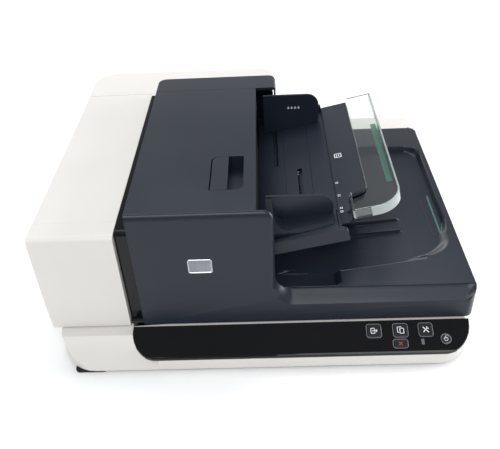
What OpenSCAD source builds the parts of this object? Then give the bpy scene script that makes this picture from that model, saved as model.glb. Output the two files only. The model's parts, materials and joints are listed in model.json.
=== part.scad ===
/* [Overall] */
// Width of the machine across its front
width = 602; // [560:1:640]
// Depth of the machine from front panel to rear wall
depth = 550; // [540:1:580]
// Height of the feeder cover above the desk
height = 236; // [232:1:250]
// Wall of the moulded covers
wall = 3; // [2:0.5:4]

/* [Scanner base] */
// Height of the glass deck above the desk
base_h = 46; // [44:1:48]
// Height of the rubber feet
foot_h = 5; // [3:1:7]
// How far each side of the base stands in from the lid
base_inset = 13; // [8:1:18]
// Slope of the control panel from the deck
panel_slope = 22.6; // [20:0.2:25]
// Length of the control panel down its slope
panel_run = 47.6; // [45:0.1:48]

/* [Lid] */
// Gap between the deck and the lid
lid_gap = 2; // [1:0.5:3]
// Width of the white tower beside the feeder
tower_w = 114; // [108:1:118]
// Height of the white tower
tower_h = 204; // [190:1:210]
// Height of the output tray's rim
rim_h = 95.5; // [92:0.5:100]
// Height where the front band starts to bevel
band_h = 80; // [74:1:84]
// Lean of the front covers from upright
front_lean = 4; // [2:0.5:5]

/* [Feeder] */
// Left side of the feeder body
feeder_left = -168; // [-172:1:-160]
// Right side of the feeder body at the front
feeder_right = 22; // [16:1:28]
// Centre line of the paper
paper_y = -20; // [-24:1:-16]
// Slope of the input tray
tray_slope = 12.5; // [10:0.5:14]
// Height of the input tray's surface at the middle of the machine
tray_z = 154; // [150:1:158]
// Distance from the centre line to each paper guide at rest
guide_half = 126; // [110:1:140]

/* [Scan unit] */
// Length of the flatbed glass
glass_l = 432; // [420:1:436]
// Width of the flatbed glass
glass_w = 304; // [297:1:306]
// Radius of the carriage rail
rail_r = 4; // [3:0.5:5]

/* [Hidden] */
$fn = 48;
e = 0.01;
fit = 0.3;
x_l = -width / 2;
x_r = width / 2;
y_f = -depth / 2;
y_b = depth / 2;
bx_l = x_l + base_inset;
bx_r = x_r - base_inset;
lid_z = base_h + lid_gap;
face_y = y_f + 47;
panel_y = y_f + 45;
panel_z = base_h + 0.5;
tower_r = x_l + tower_w;
tower_back = 269;
seam_y = -183;
hatch_right = 0;
hatch_front = -209;
hatch_back = 123;
cover_back = hatch_front - 0.3;
feeder_back = 170;
deck_y0 = -200;
nose_r = 52;
panel_left = -184;
panel_turn_x = -146;
deck_y1 = 124;
glass_x0 = -182;
strip_x0 = -236;
strip_x1 = -204;
glass_y0 = paper_y - 18 - glass_w / 2;
bay_y = 232;
bay_z = 28;
hinge_y = 250;
hinge_z = 52;
rail_y = -38;
rail_z = 17;
carriage_x = -220;
belt_y = 136;
pulley_r = 8;
pulley_x0 = -262;
pulley_x1 = 258;
pitch_r = 16;
tooth_n = 16;
pinion_s = 48;
guide_front_y = paper_y - guide_half;
guide_rear_y = paper_y + guide_half;
hatch_hinge_x = -158;
hatch_hinge_z = 214;
latch_x0 = -62.3;
latch_x1 = -16.7;
latch_y0 = -164;
latch_y1 = -84;
stop_x = 281;
stop_z = 83;
shaft_pulley_r = 9;
feed_at = [-60, 156];
separation_at = [-60, 127];
turn_at = [-220, 88];
exit_at = [-14, 72];
roller_axes = [feed_at, separation_at, turn_at, exit_at];
belt_shafts = [turn_at, exit_at, feed_at];

// Plain block between two corners
module block(a, b) {
    translate(a) cube(b - a);
}

// Points of an arc around a centre
function arc(cx, cy, r, a0, a1, n = 8) =
    [for (i = [0:n]) let (a = a0 + (a1 - a0) * i / n) [cx + r * cos(a), cy + r * sin(a)]];

// Outline of a rectangle with one radius per corner: near left, near right, far right, far left
function round_rect(x0, y0, x1, y1, r) = concat(
    arc(x0 + r[0], y0 + r[0], r[0], 180, 270),
    arc(x1 - r[1], y0 + r[1], r[1], 270, 360),
    arc(x1 - r[2], y1 - r[2], r[2], 0, 90),
    arc(x0 + r[3], y1 - r[3], r[3], 90, 180)
);

// Upright plate with rounded corners in plan
module slab(x0, y0, x1, y1, z0, z1, r) {
    translate([0, 0, z0]) linear_extrude(z1 - z0) polygon(round_rect(x0, y0, x1, y1, r));
}

// Side profile in Y and Z, drawn out along X
module side_prism(points, x0, x1) {
    translate([x0, 0, 0]) rotate([90, 0, 90]) linear_extrude(x1 - x0) polygon(points);
}

// Front profile in X and Z, drawn out along Y
module front_prism(points, y0, y1) {
    translate([0, y1, 0]) rotate([90, 0, 0]) linear_extrude(y1 - y0) polygon(points);
}

// Round bar along X
module bar_x(x0, x1, y, z, r) {
    translate([x0, y, z]) rotate([0, 90, 0]) cylinder(h = x1 - x0, r = r);
}

// Round bar along Y
module bar_y(y0, y1, x, z, r) {
    translate([x, y1, z]) rotate([90, 0, 0]) cylinder(h = y1 - y0, r = r);
}

// Frame of the sloping control panel: X along the front, Y up the slope, Z out of the panel
module on_panel() {
    translate([0, panel_y, panel_z]) rotate([panel_slope, 0, 0]) children();
}

// Frame of the input tray: X up the slope, Y across the paper, Z out of the tray
module on_tray() {
    translate([0, 0, tray_z]) rotate([0, -tray_slope, 0]) children();
}

// Leaning front profile from z0 to z1, reaching back to y1, with a rounded top edge
function face_profile(z0, z1, y1, r) = let (
    y_at0 = face_y,
    y_at1 = face_y + (z1 - r - lid_z) * tan(front_lean)
) concat([[y_at0 + (z0 - lid_z) * tan(front_lean), z0]], arc(y_at1 + r, z1 - r, r, 180, 90, 6), [[y1, z1], [y1, z0]]);

// Height of the seat under the control panel at depth y
function panel_seat(y) = panel_z - 3 / cos(panel_slope) + (y - panel_y) * tan(panel_slope);

// Side profile of the base's front left of the panel, set in by d
function nose(d) = [
    [y_f + 30.5 + d, base_h], [y_f + 22 + d, base_h - 6.8], [y_f + 14.5 + d, base_h - 14.5],
    [y_f + 8 + d, base_h - 23.5], [y_f + 3 + d, base_h - 33], [y_f + d, foot_h + 1]
];

module base_shell() {
    color([0.90, 0.90, 0.88]) difference() {
        intersection() {
            slab(bx_l, y_f, bx_r, y_b, foot_h + 1, base_h, [nose_r, 40, 18, 18]);
            union() {
                difference() {
                    block([bx_l, y_f, foot_h + 1], [bx_r, y_b, base_h]);
                    slab(bx_l + wall, y_f + wall, bx_r - wall, y_b - wall, 0, base_h - wall,
                        [nose_r - wall, 37, 15, 15]);
                }
                side_prism(
                    concat(nose(0), [[y_f + wall + 1.5, foot_h + 1], [y_f + 34, base_h - wall - 1], [y_f + 34, base_h]]),
                    bx_l, panel_turn_x
                );
            }
        }
        side_prism(
            concat([[y_f - 1, base_h + 1], [y_f + 30.5, base_h + 1]], nose(0), [[y_f - 1, foot_h + 1]]),
            bx_l - 1, panel_turn_x
        );
        block([-262, deck_y0, base_h - 6], [266, deck_y1, base_h + 1]);
        intersection() {
            side_prism([
                [panel_y + 1.4, 60], [panel_y + 1.4, panel_seat(panel_y + 1.4)],
                [y_f + 5, panel_seat(y_f + 5)], [y_f + 5, 25], [y_f - 1, 25], [y_f - 1, 60]
            ], panel_left, 320);
            slab(panel_left + 0.6, y_f - 0.4, 330, panel_y + 3, 20, 70, [37.4, 1, 1, 1]);
        }
        block([x_l, bay_y, bay_z], [x_r, y_b + 1, base_h + 1]);
        block([-120, y_b - 4, 9], [-40, y_b + 1, 25]);
    }
}

module base_pan() {
    color([0.16, 0.17, 0.18]) difference() {
        slab(bx_l + wall + 0.5, y_f + wall + 0.5, bx_r - wall - 0.5, y_b - wall - 0.5, foot_h, 14,
            [nose_r - 3.5, 36, 14, 14]);
        slab(bx_l + 6, y_f + 6, bx_r - 6, y_b - 6, 8, 15, [nose_r - 6, 34, 12, 12]);
        block([bx_l, y_f, foot_h + 0.9], [panel_turn_x + 1, y_f + 15, 15]);
        block([-122, y_b - 9, 10], [-38, y_b, 15]);
    }
}

module feet() {
    color([0.07, 0.07, 0.07]) {
        for (at = [[250, -246], [-250, 246], [250, 246]]) translate(at)
            slab(-24, -11, 24, 11, 0, foot_h, [6, 6, 6, 6]);
        slab(-268, y_f + 2, -222, -235, 0, foot_h, [6, 6, 6, 6]);
    }
}

module hinge_bay() {
    color([0.20, 0.21, 0.22]) intersection() {
        union() {
            block([bx_l, bay_y, bay_z - wall], [bx_r, y_b, bay_z]);
            block([bx_l, bay_y - wall, bay_z - wall], [bx_r, bay_y, base_h - wall]);
        }
        slab(bx_l + wall, y_f + wall, bx_r - wall, y_b - wall, 0, base_h, [nose_r - wall, 37, 15, 15]);
    }
}

module hinge_blocks() {
    color([0.55, 0.56, 0.58]) for (x = [-200, 200]) difference() {
        union() {
            bar_x(x - 10, x + 10, hinge_y, hinge_z, 9);
            block([x - 10, hinge_y - 9, bay_z], [x + 10, hinge_y, hinge_z]);
        }
        bar_x(x - 11, x + 11, hinge_y, hinge_z, 4.05);
    }
}

module glass_frame() {
    color([0.78, 0.79, 0.78]) difference() {
        block([-262, deck_y0, base_h - 5], [266, deck_y1, base_h]);
        block([glass_x0, glass_y0, base_h - 3], [glass_x0 + glass_l, glass_y0 + glass_w, base_h + 1]);
        block([glass_x0 + 4, glass_y0 + 4, base_h - 6], [glass_x0 + glass_l - 4, glass_y0 + glass_w - 4, base_h]);
        block([strip_x0, glass_y0, base_h - 3], [strip_x1, glass_y0 + glass_w, base_h + 1]);
        block([strip_x0 + 4, glass_y0 + 4, base_h - 6], [strip_x1 - 4, glass_y0 + glass_w - 4, base_h]);
    }
}

module flatbed_glass() {
    color([0.75, 0.85, 0.85, 0.5])
        block([glass_x0, glass_y0, base_h - 3], [glass_x0 + glass_l, glass_y0 + glass_w, base_h]);
}

module feeder_glass() {
    color([0.75, 0.85, 0.85, 0.5])
        block([strip_x0, glass_y0, base_h - 3], [strip_x1, glass_y0 + glass_w, base_h]);
}

// Size and place of each square button: X of its middle, distance down the slope, width, length
scan_at = [158, 15, 19, 18];
copy_at = [195, 15, 19, 18];
tools_at = [230, 15, 18, 18];
cancel_at = [193, 34, 19, 11];
power_at = [256, 29];
power_r = 8;

// Hole of a square button in the panel
module button_hole(at) {
    translate([at[0], -at[1], 0])
        slab(-at[2] / 2 - fit, -at[3] / 2 - fit, at[2] / 2 + fit, at[3] / 2 + fit, -5, 5, [3, 3, 3, 3]);
}

// Cap of a square button with its retaining flange
module button_cap(at) {
    translate([at[0], -at[1], 0]) {
        slab(-at[2] / 2, -at[3] / 2, at[2] / 2, at[3] / 2, -5.5, 1.2, [2.7, 2.7, 2.7, 2.7]);
        slab(-at[2] / 2 - 1.5, -at[3] / 2 - 1, at[2] / 2 + 1.5, at[3] / 2 + 1, -5.5, -3.4, [2, 2, 2, 2]);
    }
}

module control_panel() {
    color([0.03, 0.03, 0.035]) difference() {
        intersection() {
            union() {
                on_panel() block([-184, -panel_run, -3], [294, 0, 0]);
                block([-184, y_f + 0.5, 25.2], [294, y_f + 5, 29.5]);
            }
            slab(-183, y_f, 292, panel_y + 2, 20, 60, [37, 42, 1, 1]);
        }
        on_panel() {
            button_hole(scan_at);
            button_hole(copy_at);
            button_hole(tools_at);
            button_hole(cancel_at);
            translate([power_at[0], -power_at[1], -6]) cylinder(h = 12, r = power_r + fit);
            block([222, -36, -4], [226, -28, 1]);
        }
    }
}

module status_light() {
    color([0.85, 0.90, 0.85]) on_panel() block([222, -36, -3], [226, -28, 0.3]);
}

module scan_button() {
    color([0.10, 0.10, 0.11]) on_panel() button_cap(scan_at);
}

module copy_button() {
    color([0.10, 0.10, 0.11]) on_panel() button_cap(copy_at);
}

module tools_button() {
    color([0.10, 0.10, 0.11]) on_panel() button_cap(tools_at);
}

module cancel_button() {
    color([0.10, 0.10, 0.11]) on_panel() button_cap(cancel_at);
}

module power_button() {
    color([0.55, 0.56, 0.58]) on_panel() translate([power_at[0], -power_at[1], -5.5]) {
        cylinder(h = 6.7, r = power_r);
        cylinder(h = 2.1, r = power_r + 1.5);
    }
}

module main_board() {
    color([0.10, 0.35, 0.20]) {
        block([20, 150, 12], [170, 222, 13.6]);
        block([40, 160, 13.6], [66, 186, 16]);
        block([90, 165, 13.6], [108, 183, 15.5]);
        block([130, 156, 13.6], [160, 164, 22]);
        for (x = [26, 164], y = [156, 216]) translate([x, y, 8]) cylinder(h = 4, r = 3);
    }
}

module connector_plate() {
    color([0.62, 0.63, 0.65]) difference() {
        block([-120, y_b - 3, 9], [-40, y_b, 25]);
        translate([-100, y_b + 1, 17]) rotate([90, 0, 0]) cylinder(h = 6, r = 5.5);
        block([-76, y_b - 4, 11], [-62, y_b + 1, 23]);
    }
}

module power_inlet() {
    color([0.05, 0.05, 0.05]) difference() {
        translate([-100, y_b, 17]) rotate([90, 0, 0]) cylinder(h = 14, r = 5.5);
        translate([-100, y_b + 1, 17]) rotate([90, 0, 0]) cylinder(h = 11, r = 3.2);
    }
}

module data_port() {
    color([0.70, 0.71, 0.73]) difference() {
        block([-76, y_b - 16, 11], [-62, y_b, 23]);
        block([-74, y_b - 10, 13], [-64, y_b + 1, 21]);
    }
}

module carriage_rail() {
    color([0.80, 0.81, 0.82]) {
        bar_x(-280, 280, rail_y, rail_z, rail_r);
        for (x = [-282, 276]) block([x, rail_y - 8, 8], [x + 6, rail_y + 8, 22]);
    }
}

module carriage_belt() {
    color([0.06, 0.06, 0.06]) translate([0, 0, 13]) linear_extrude(6) difference() {
        polygon(concat(
            arc(pulley_x0, belt_y, pulley_r + 1.5, 90, 270, 24),
            arc(pulley_x1, belt_y, pulley_r + 1.5, -90, 90, 24)
        ));
        polygon(concat(
            arc(pulley_x0, belt_y, pulley_r + 0.4, 90, 270, 24),
            arc(pulley_x1, belt_y, pulley_r + 0.4, -90, 90, 24)
        ));
    }
}

module carriage_motor() {
    color([0.45, 0.46, 0.48]) {
        translate([pulley_x0, belt_y, 22]) cylinder(h = 18, r = 17);
        block([pulley_x0 - 6, belt_y + 12, 8], [pulley_x0 + 6, belt_y + 20, 22]);
        block([pulley_x0 - 6, belt_y - 20, 8], [pulley_x0 + 6, belt_y - 12, 22]);
    }
}

// Toothless belt pulley with two flanges and a bore or a spigot
module pulley(x) {
    translate([x, belt_y, 10]) {
        cylinder(h = 10.5, r = pulley_r - 0.1);
        cylinder(h = 2, r = pulley_r + 3);
        translate([0, 0, 9.3]) cylinder(h = 1.5, r = pulley_r + 3);
    }
}

module belt_drive_pulley() {
    color([0.75, 0.62, 0.35]) pulley(pulley_x0);
}

module belt_idler_pulley() {
    color([0.85, 0.85, 0.83]) pulley(pulley_x1);
}

module scan_carriage() {
    color([0.12, 0.12, 0.13]) translate([carriage_x, 0, 0]) difference() {
        union() {
            block([-22, glass_y0, 24], [22, glass_y0 + glass_w, 38]);
            block([-22, rail_y - 10, 10], [22, rail_y + 10, 24.5]);
            block([-10, glass_y0 + glass_w - 12, 13], [10, belt_y - pulley_r - 2, 24.5]);
        }
        bar_x(-23, 23, rail_y, rail_z, rail_r + 0.05);
        block([-9, glass_y0 + 6, 36], [9, glass_y0 + glass_w - 6, 39]);
    }
}

module carriage_lamp() {
    color([0.88, 0.92, 0.95]) translate([carriage_x, 0, 0])
        block([-9, glass_y0 + 6, 36], [9, glass_y0 + glass_w - 6, 38.6]);
}

// Floor of the lid, grown by g where a cover makes room for it
module lid_plate(g) {
    slab(x_l + 4 - g, face_y + 4 - g, x_r - 4 + g, 264 + g, lid_z - g, lid_z + 4 + g, [8, 12, 12, 36]);
}

module lid_frame() {
    color([0.11, 0.12, 0.14]) {
        difference() {
            lid_plate(0);
            block([-242, glass_y0 - 2, lid_z - 1], [-198, glass_y0 + glass_w + 2, lid_z + 5]);
            for (x = [-200, 200]) block([x - 24, 226, lid_z - 1], [x + 24, 266, lid_z + 5]);
        }
        for (x = [-200, 200], side = [-1, 1]) difference() {
            union() {
                bar_x(x + side * 16.5 - 6, x + side * 16.5 + 6, hinge_y, hinge_z, 8);
                block([x + side * 16.5 - 6, 224, lid_z], [x + side * 16.5 + 6, hinge_y, lid_z + 10]);
            }
            bar_x(x - 30, x + 30, hinge_y, hinge_z, 4);
        }
    }
}

module lid_hinge_pins() {
    color([0.75, 0.76, 0.78]) for (x = [-200, 200]) bar_x(x - 22.5, x + 22.5, hinge_y, hinge_z, 4);
}

module platen_pad() {
    color([0.95, 0.95, 0.94])
        block([glass_x0 + 1, glass_y0 + 1, base_h + 0.4], [glass_x0 + glass_l - 1, glass_y0 + glass_w - 1, lid_z]);
}

module side_front_cover() {
    color([0.84, 0.84, 0.83]) intersection() {
        difference() {
            side_prism(face_profile(lid_z, tower_h, seam_y - 0.3, 9), x_l, tower_r);
            translate([0, wall, -wall]) side_prism(face_profile(lid_z, tower_h, seam_y + 5, 7), x_l + wall, tower_r - wall);
            block([x_l + wall, face_y + 8, 0], [tower_r - wall, 0, lid_z + 20]);
            lid_plate(0.1);
        }
        slab(x_l, face_y - 2, tower_r, seam_y + 2, 0, 300, [7, 1, 1, 1]);
    }
}

module side_cover() {
    color([0.93, 0.92, 0.90]) difference() {
        block([x_l, seam_y, lid_z], [tower_r, 179.7, tower_h]);
        block([x_l + wall, seam_y - 1, lid_z - 1], [tower_r - wall, 181, tower_h - wall]);
        block([tower_r - wall - 1, seam_y - 1, lid_z - 1], [tower_r + 1, 168, 186]);
        lid_plate(0.1);
    }
}

// Plan of the white cover that wraps behind the feeder
function rear_plan(d) = concat(
    [[x_l + d, 180], [tower_r - d, 180], [tower_r - d, feeder_back + 2 + d], [30 - d, feeder_back + 2 + d]],
    arc(8, tower_back - 24, 22 - d, 0, 90),
    arc(x_l + 40, tower_back - 40 + 2, 38 + (2 - d), 90, 180)
);

module rear_side_cover() {
    color([0.93, 0.92, 0.90]) difference() {
        translate([0, 0, lid_z]) linear_extrude(tower_h - lid_z) polygon(rear_plan(0));
        translate([0, 0, lid_z - 1]) linear_extrude(tower_h - lid_z - wall + 1) polygon(rear_plan(wall));
        block([x_l + wall, 179, lid_z - 1], [tower_r - wall, 184, tower_h - wall]);
        lid_plate(0.1);
    }
}

module rear_strip() {
    color([0.92, 0.93, 0.94]) difference() {
        slab(30.5, 216, x_r, tower_back, lid_z, 86, [1, 1, 24, 1]);
        slab(30.5 + wall, 216 + wall, x_r - wall, tower_back - wall, lid_z - 1, 83, [1, 1, 21, 1]);
        lid_plate(0.1);
    }
}

module trim_strip() {
    color([0.04, 0.04, 0.045]) side_prism([
        [face_y + 9, lid_z + 4], [face_y + 19, tower_h - 4], [face_y + 24, tower_h + 2],
        [feeder_back, tower_h + 2], [feeder_back, tower_h - 4], [face_y + 28, tower_h - 4], [face_y + 14, lid_z + 4]
    ], tower_r + 0.3, feeder_left - 0.3);
}

// Front outline of the tall feeder face and the low band beside it
front_outline = concat(
    [[feeder_left, lid_z], [feeder_left, height]],
    arc(feeder_right - 14, height - 14, 14, 90, 0),
    arc(feeder_right + 24, rim_h + 24, 24, 180, 270),
    [[x_r, rim_h], [x_r, lid_z]]
);

module front_cover() {
    color([0.13, 0.15, 0.18]) difference() {
        intersection() {
            front_prism(front_outline, face_y - 2, cover_back);
            slab(feeder_left - 5, face_y - 1, x_r, 0, 0, 300, [1, 14, 1, 1]);
        }
        side_prism(concat(
            [[face_y - 3, lid_z - 5], [face_y - 5 * tan(front_lean), lid_z - 5]],
            arc(face_y + (height - 6 - lid_z) * tan(front_lean) + 6, height - 6, 6, 180, 90, 6),
            [[face_y + 25, height + 5], [face_y - 3, height + 5]]
        ), feeder_left - 8, x_r + 5);
        side_prism([
            [face_y - 3, band_h], [face_y + (band_h - lid_z) * tan(front_lean), band_h],
            [cover_back - 1, rim_h + e], [cover_back - 1, rim_h + 9], [face_y - 3, rim_h + 9]
        ], feeder_right + 24, x_r + 5);
        side_prism([
            [face_y + wall, lid_z - 1], [face_y + wall + (height - lid_z) * tan(front_lean), height - wall],
            [cover_back + 1, height - wall], [cover_back + 1, lid_z - 1]
        ], feeder_left + wall, feeder_right - wall);
        block([feeder_right - wall - 1, face_y + 6, lid_z - 1], [x_r - wall, cover_back + 1, 76]);
        lid_plate(0.1);
    }
}

module badge() {
    color([0.72, 0.73, 0.75]) side_prism([
        [face_y + (142 - lid_z) * tan(front_lean) - 0.8, 142], [face_y + (165 - lid_z) * tan(front_lean) - 0.8, 165],
        [face_y + (165 - lid_z) * tan(front_lean), 165], [face_y + (142 - lid_z) * tan(front_lean), 142]
    ], -94, -61);
}

module rear_cover() {
    color([0.13, 0.15, 0.18]) intersection() {
        slab(feeder_left, hatch_back, 34, feeder_back, lid_z, height + 1, [1, 1, 14, 14]);
        rear_cover_walls();
    }
}

// Hood and box of the rear cover, before its rear corners are rounded
module rear_cover_walls() {
    union() {
        front_prism(concat(
            [[feeder_left, height - 5], [feeder_left, height]],
            arc(34 - 5, height - 5, 5, 90, 0, 6)
        ), hatch_back + 0.5, feeder_back - 19.5);
        difference() {
            front_prism(concat([[feeder_left, lid_z + 4], [feeder_left, height]], arc(34 - 5, height - 5, 5, 90, 0, 6),
                [[34, lid_z + 4]]), feeder_back - 19.5, feeder_back);
            block([feeder_left - 1, feeder_back - 21, lid_z], [31, feeder_back - wall, 190]);
            block([feeder_left + wall, feeder_back - 21, 189], [31, feeder_back - wall, height - 5]);
        }
    }
}

// Space above the output tray
module output_space() {
    intersection() {
        front_prism([[10, 66], [232, 84], [292, 84], [292, 140], [10, 140]], -160, 160);
        slab(10, -151, 292, 148, 0, 200, [1, 52, 26, 1]);
    }
    slab(10, -207, 114, -148, 83, 140, [1, 8, 8, 1]);
    intersection() {
        translate([0, 0, 50]) linear_extrude(90)
            polygon([[10, -165], [120, -168], [240, -150], [238, -138], [230, -119], [176, -119], [10, -151]]);
        front_prism([[10, 60], [238, 76], [238, 140], [10, 140]], -190, -100);
    }
}

module output_tray() {
    color([0.13, 0.15, 0.18]) difference() {
        union() {
            difference() {
                slab(feeder_right - 4, hatch_front + 0.2, x_r, 214, lid_z + 4, rim_h, [1, 1, 16, 1]);
                output_space();
            }
            for (y = [-56, -84])
                front_prism([[90, 70], [90, 79], [218, 88.5], [226, 84], [226, 80]], y, y + 5);
        }
        block([268, -94, 79], [286, 4, 100]);
        bar_y(-98, 8, stop_x, stop_z, 2.05);
        block([feeder_right - 5, hatch_back + 27, lid_z], [34.3, 215, rim_h + 1]);
        lid_plate(0.1);
    }
}

module paper_stop() {
    color([0.55, 0.80, 0.72, 0.6]) {
        block([270.5, -88, 80], [281, -2, 82.5]);
        bar_y(-97, 7, stop_x, stop_z, 2);
    }
}

module feeder_frame() {
    color([0.19, 0.20, 0.22]) difference() {
        union() {
            block([-262, -181, lid_z + 4], [-1, -177, 184]);
            block([-262, 146, lid_z + 4], [-1, 150, 184]);
            block([-4, -177, 96], [-1, 146, 140]);
            block([-4, hatch_front, lid_z + 4], [-1, -181, 190]);
            block([hatch_hinge_x - 6, -177, 176], [hatch_hinge_x + 6, 146, 184]);
            for (y = [-170, 100]) {
                block([hatch_hinge_x - 6, y, 184], [hatch_hinge_x + 6, y + 6, hatch_hinge_z]);
                bar_y(y, y + 6, hatch_hinge_x, hatch_hinge_z, 6);
            }
        }
        for (p = roller_axes) bar_y(-185, 155, p[0], p[1], 3.05);
        for (y = [-170, 100]) bar_y(y - 1, y + 7, hatch_hinge_x, hatch_hinge_z, 2.05);
    }
}

module paper_guide() {
    color([0.24, 0.25, 0.27]) difference() {
        front_prism([[-5, 148], [-5, 150], [-180, 124], [-188, 124], [-188, 122], [-180, 122]], -176.5, 145.5);
        block([-80, paper_y - 34, 120], [-40, paper_y + 34, 160]);
    }
}

module second_side_sensor() {
    color([0.10, 0.10, 0.11]) difference() {
        block([-172, -176.5, 60], [-140, 145.5, 84]);
        block([-164, -168, 59], [-148, 137, 61.5]);
    }
}

module feed_motor() {
    color([0.48, 0.49, 0.51]) {
        bar_y(104, 146, -110, 108, 18);
        bar_y(96, 104, -110, 108, 8);
    }
}

// Loop outline around the three shafts at a distance r
function belt_loop(r) = [
    for (i = [0:2])
        let (
            p = belt_shafts[i],
            prev = belt_shafts[(i + 2) % 3],
            next = belt_shafts[(i + 1) % 3],
            a0 = atan2(p[1] - prev[1], p[0] - prev[0]) - 90,
            a1 = atan2(next[1] - p[1], next[0] - p[0]) - 90
        )
        each arc(p[0], p[1], r, a0, a1 < a0 ? a1 + 360 : a1, 16)
];

module feed_belt() {
    color([0.06, 0.06, 0.06]) translate([0, 162, 0]) rotate([90, 0, 0]) linear_extrude(7) difference() {
        polygon(belt_loop(shaft_pulley_r + 1.8));
        polygon(belt_loop(shaft_pulley_r + 0.4));
    }
}

// Shaft with rubber sleeves across the paper and a belt pulley at the rear
module roller(at, r, sleeves, sleeve_l, pulley_on) {
    bar_y(-183, pulley_on ? 164.5 : 152, at[0], at[1], 3);
    for (y = sleeves) bar_y(y - sleeve_l / 2, y + sleeve_l / 2, at[0], at[1], r);
    if (pulley_on) {
        bar_y(154.5, 162.5, at[0], at[1], shaft_pulley_r);
        bar_y(162.5, 164, at[0], at[1], shaft_pulley_r + 2.5);
        bar_y(153, 154.5, at[0], at[1], shaft_pulley_r + 2.5);
    }
}

module feed_roller() {
    color([0.62, 0.64, 0.66]) roller(feed_at, 14, [paper_y - 15, paper_y + 15], 24, true);
}

module separation_roller() {
    color([0.20, 0.21, 0.22]) roller(separation_at, 14, [paper_y - 15, paper_y + 15], 24, false);
}

module turn_roller() {
    color([0.25, 0.26, 0.28]) roller(turn_at, 34, [-150, -85, -20, 45, 110], 30, true);
}

module exit_roller() {
    color([0.25, 0.26, 0.28]) roller(exit_at, 10, [-120, -53, 13, 80], 22, true);
}

module hatch() {
    color([0.13, 0.15, 0.18]) difference() {
        union() {
            difference() {
                block([feeder_left, hatch_front, 192], [hatch_right, hatch_back, height]);
                block([feeder_left + wall, hatch_front + wall, 191], [hatch_right - wall, hatch_back - wall, height - wall]);
                block([-10, hatch_front + wall, 191], [hatch_right + 1, hatch_back - wall, 197]);
            }
            block([latch_x0 - 2, latch_y0 - 2, 210], [latch_x1 + 2, latch_y1 + 2, height - wall]);
            for (y = [-180, 110]) block([hatch_hinge_x - 5, y, hatch_hinge_z - 5], [hatch_hinge_x + 5, y + 6, height - 1]);
            for (y = [-179, 93]) bar_y(y, y + 23, hatch_hinge_x, hatch_hinge_z, 2);
            for (y = [-84, 40]) block([-124, y, 137], [-116, y + 4, height - 1]);
        }
        slab(latch_x0, latch_y0, latch_x1, latch_y1, 212, height + 1, [1, 10, 1, 10]);
        bar_y(latch_y0 - 6, latch_y1 + 11, latch_x0 + 2.8, 232, 1.8);
        bar_y(-85, 45, -120, 143, 2.05);
        for (y = [-172, 98]) block([feeder_left - 1, y, 191], [feeder_left + wall + 1, y + 10, 220]);
    }
}

module pinch_rollers() {
    color([0.25, 0.26, 0.28]) {
        bar_y(-84, 44, -120, 143, 2);
        for (y = [-60, 14]) bar_y(y, y + 20, -120, 143, 6);
    }
}

module hatch_latch() {
    color([0.11, 0.12, 0.14]) {
        slab(latch_x0 + 1.8, latch_y0 + 0.5, -38, latch_y1 - 0.5, height - wall, height, [1, 1, 1, 9]);
        block([-40, latch_y0 + 4, 224], [-38, latch_y1 - 4, height - 1]);
        bar_y(latch_y0 - 5, latch_y1 + 10, latch_x0 + 2.8, 232, 1.5);
        block([latch_x0 + 1, latch_y1 + 3, 196], [latch_x0 + 7, latch_y1 + 9, 231]);
        for (y = [latch_y0 + 6, latch_y1 - 10]) block([latch_x0 + 1.8, y, 230], [latch_x0 + 6, y + 4, height - 1]);
    }
}

module input_tray() {
    color([0.15, 0.17, 0.20]) on_tray() difference() {
        union() {
            block([2, -178, -3], [112, 140, 0]);
            block([112, -140, -3], [114.5, 140, -1.2]);
        }
        block([27.5, paper_y + 18, -4], [34.5, 138, 1]);
        block([63.5, paper_y - 156, -4], [70.5, paper_y - 1, 1]);
        for (s = [44, 84]) block([s, -178, -0.6], [s + 0.8, 140, 1]);
    }
}

// Plan of the fixed end of the tray, with a rounded front corner, grown by g
function tray_end_plan(g) = concat(
    [[116, 150], [116, -150 - g]],
    arc(124, -142, 8 + g, 270, 360, 4),
    arc(148, -126, 16 - g, 180, 90, 4),
    arc(146, -96, 14 + g, 270, 360, 4),
    [[160 + g, 150]]
);

module input_tray_base() {
    color([0.15, 0.17, 0.20]) on_tray() difference() {
        union() {
            block([2, -186, -20], [116, 146, -3]);
            block([2, 140, -20], [116, 146, 10]);
            front_wall();
            translate([0, 0, -20]) linear_extrude(20) polygon(tray_end_plan(0));
        }
        block([5, -178, -17], [113, 140, -2]);
        block([96, -92, -11], [161, 142, -6]);
        block([131, -120, -11], [161, -91, -6]);
        block([118, -90, -17], [157, 140, -5]);
    }
}

// Side wall along the tray's front edge
module front_wall() {
    translate([0, -178, 0]) rotate([90, 0, 0]) linear_extrude(8)
        polygon(concat([[4, -20], [4, 0]], arc(116, -8, 8, 90, 0, 5), [[124, -20]]));
}

// Fin of a paper guide in X and Z, up to height z1
function guide_plan(z1, x1) = concat(
    [[12, guide_base(12)], [12, z1]],
    arc(x1 - 20, z1 - 20, 20, 90, 0),
    [[x1, guide_base(x1)]]
);
function guide_base(x) = tray_z + 0.6 + x * tan(tray_slope);

// Post and ledge in front of the guide's fin, with a finger scoop between them
function grip_plan(z1, x1) = concat(
    [[12, guide_base(12)], [12, z1 - 2], [20, z1 - 3]],
    arc(42, guide_base(42) + 27, 20, 180, 270),
    [[x1, guide_base(x1) + 3], [x1, guide_base(x1)]]
);

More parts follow.
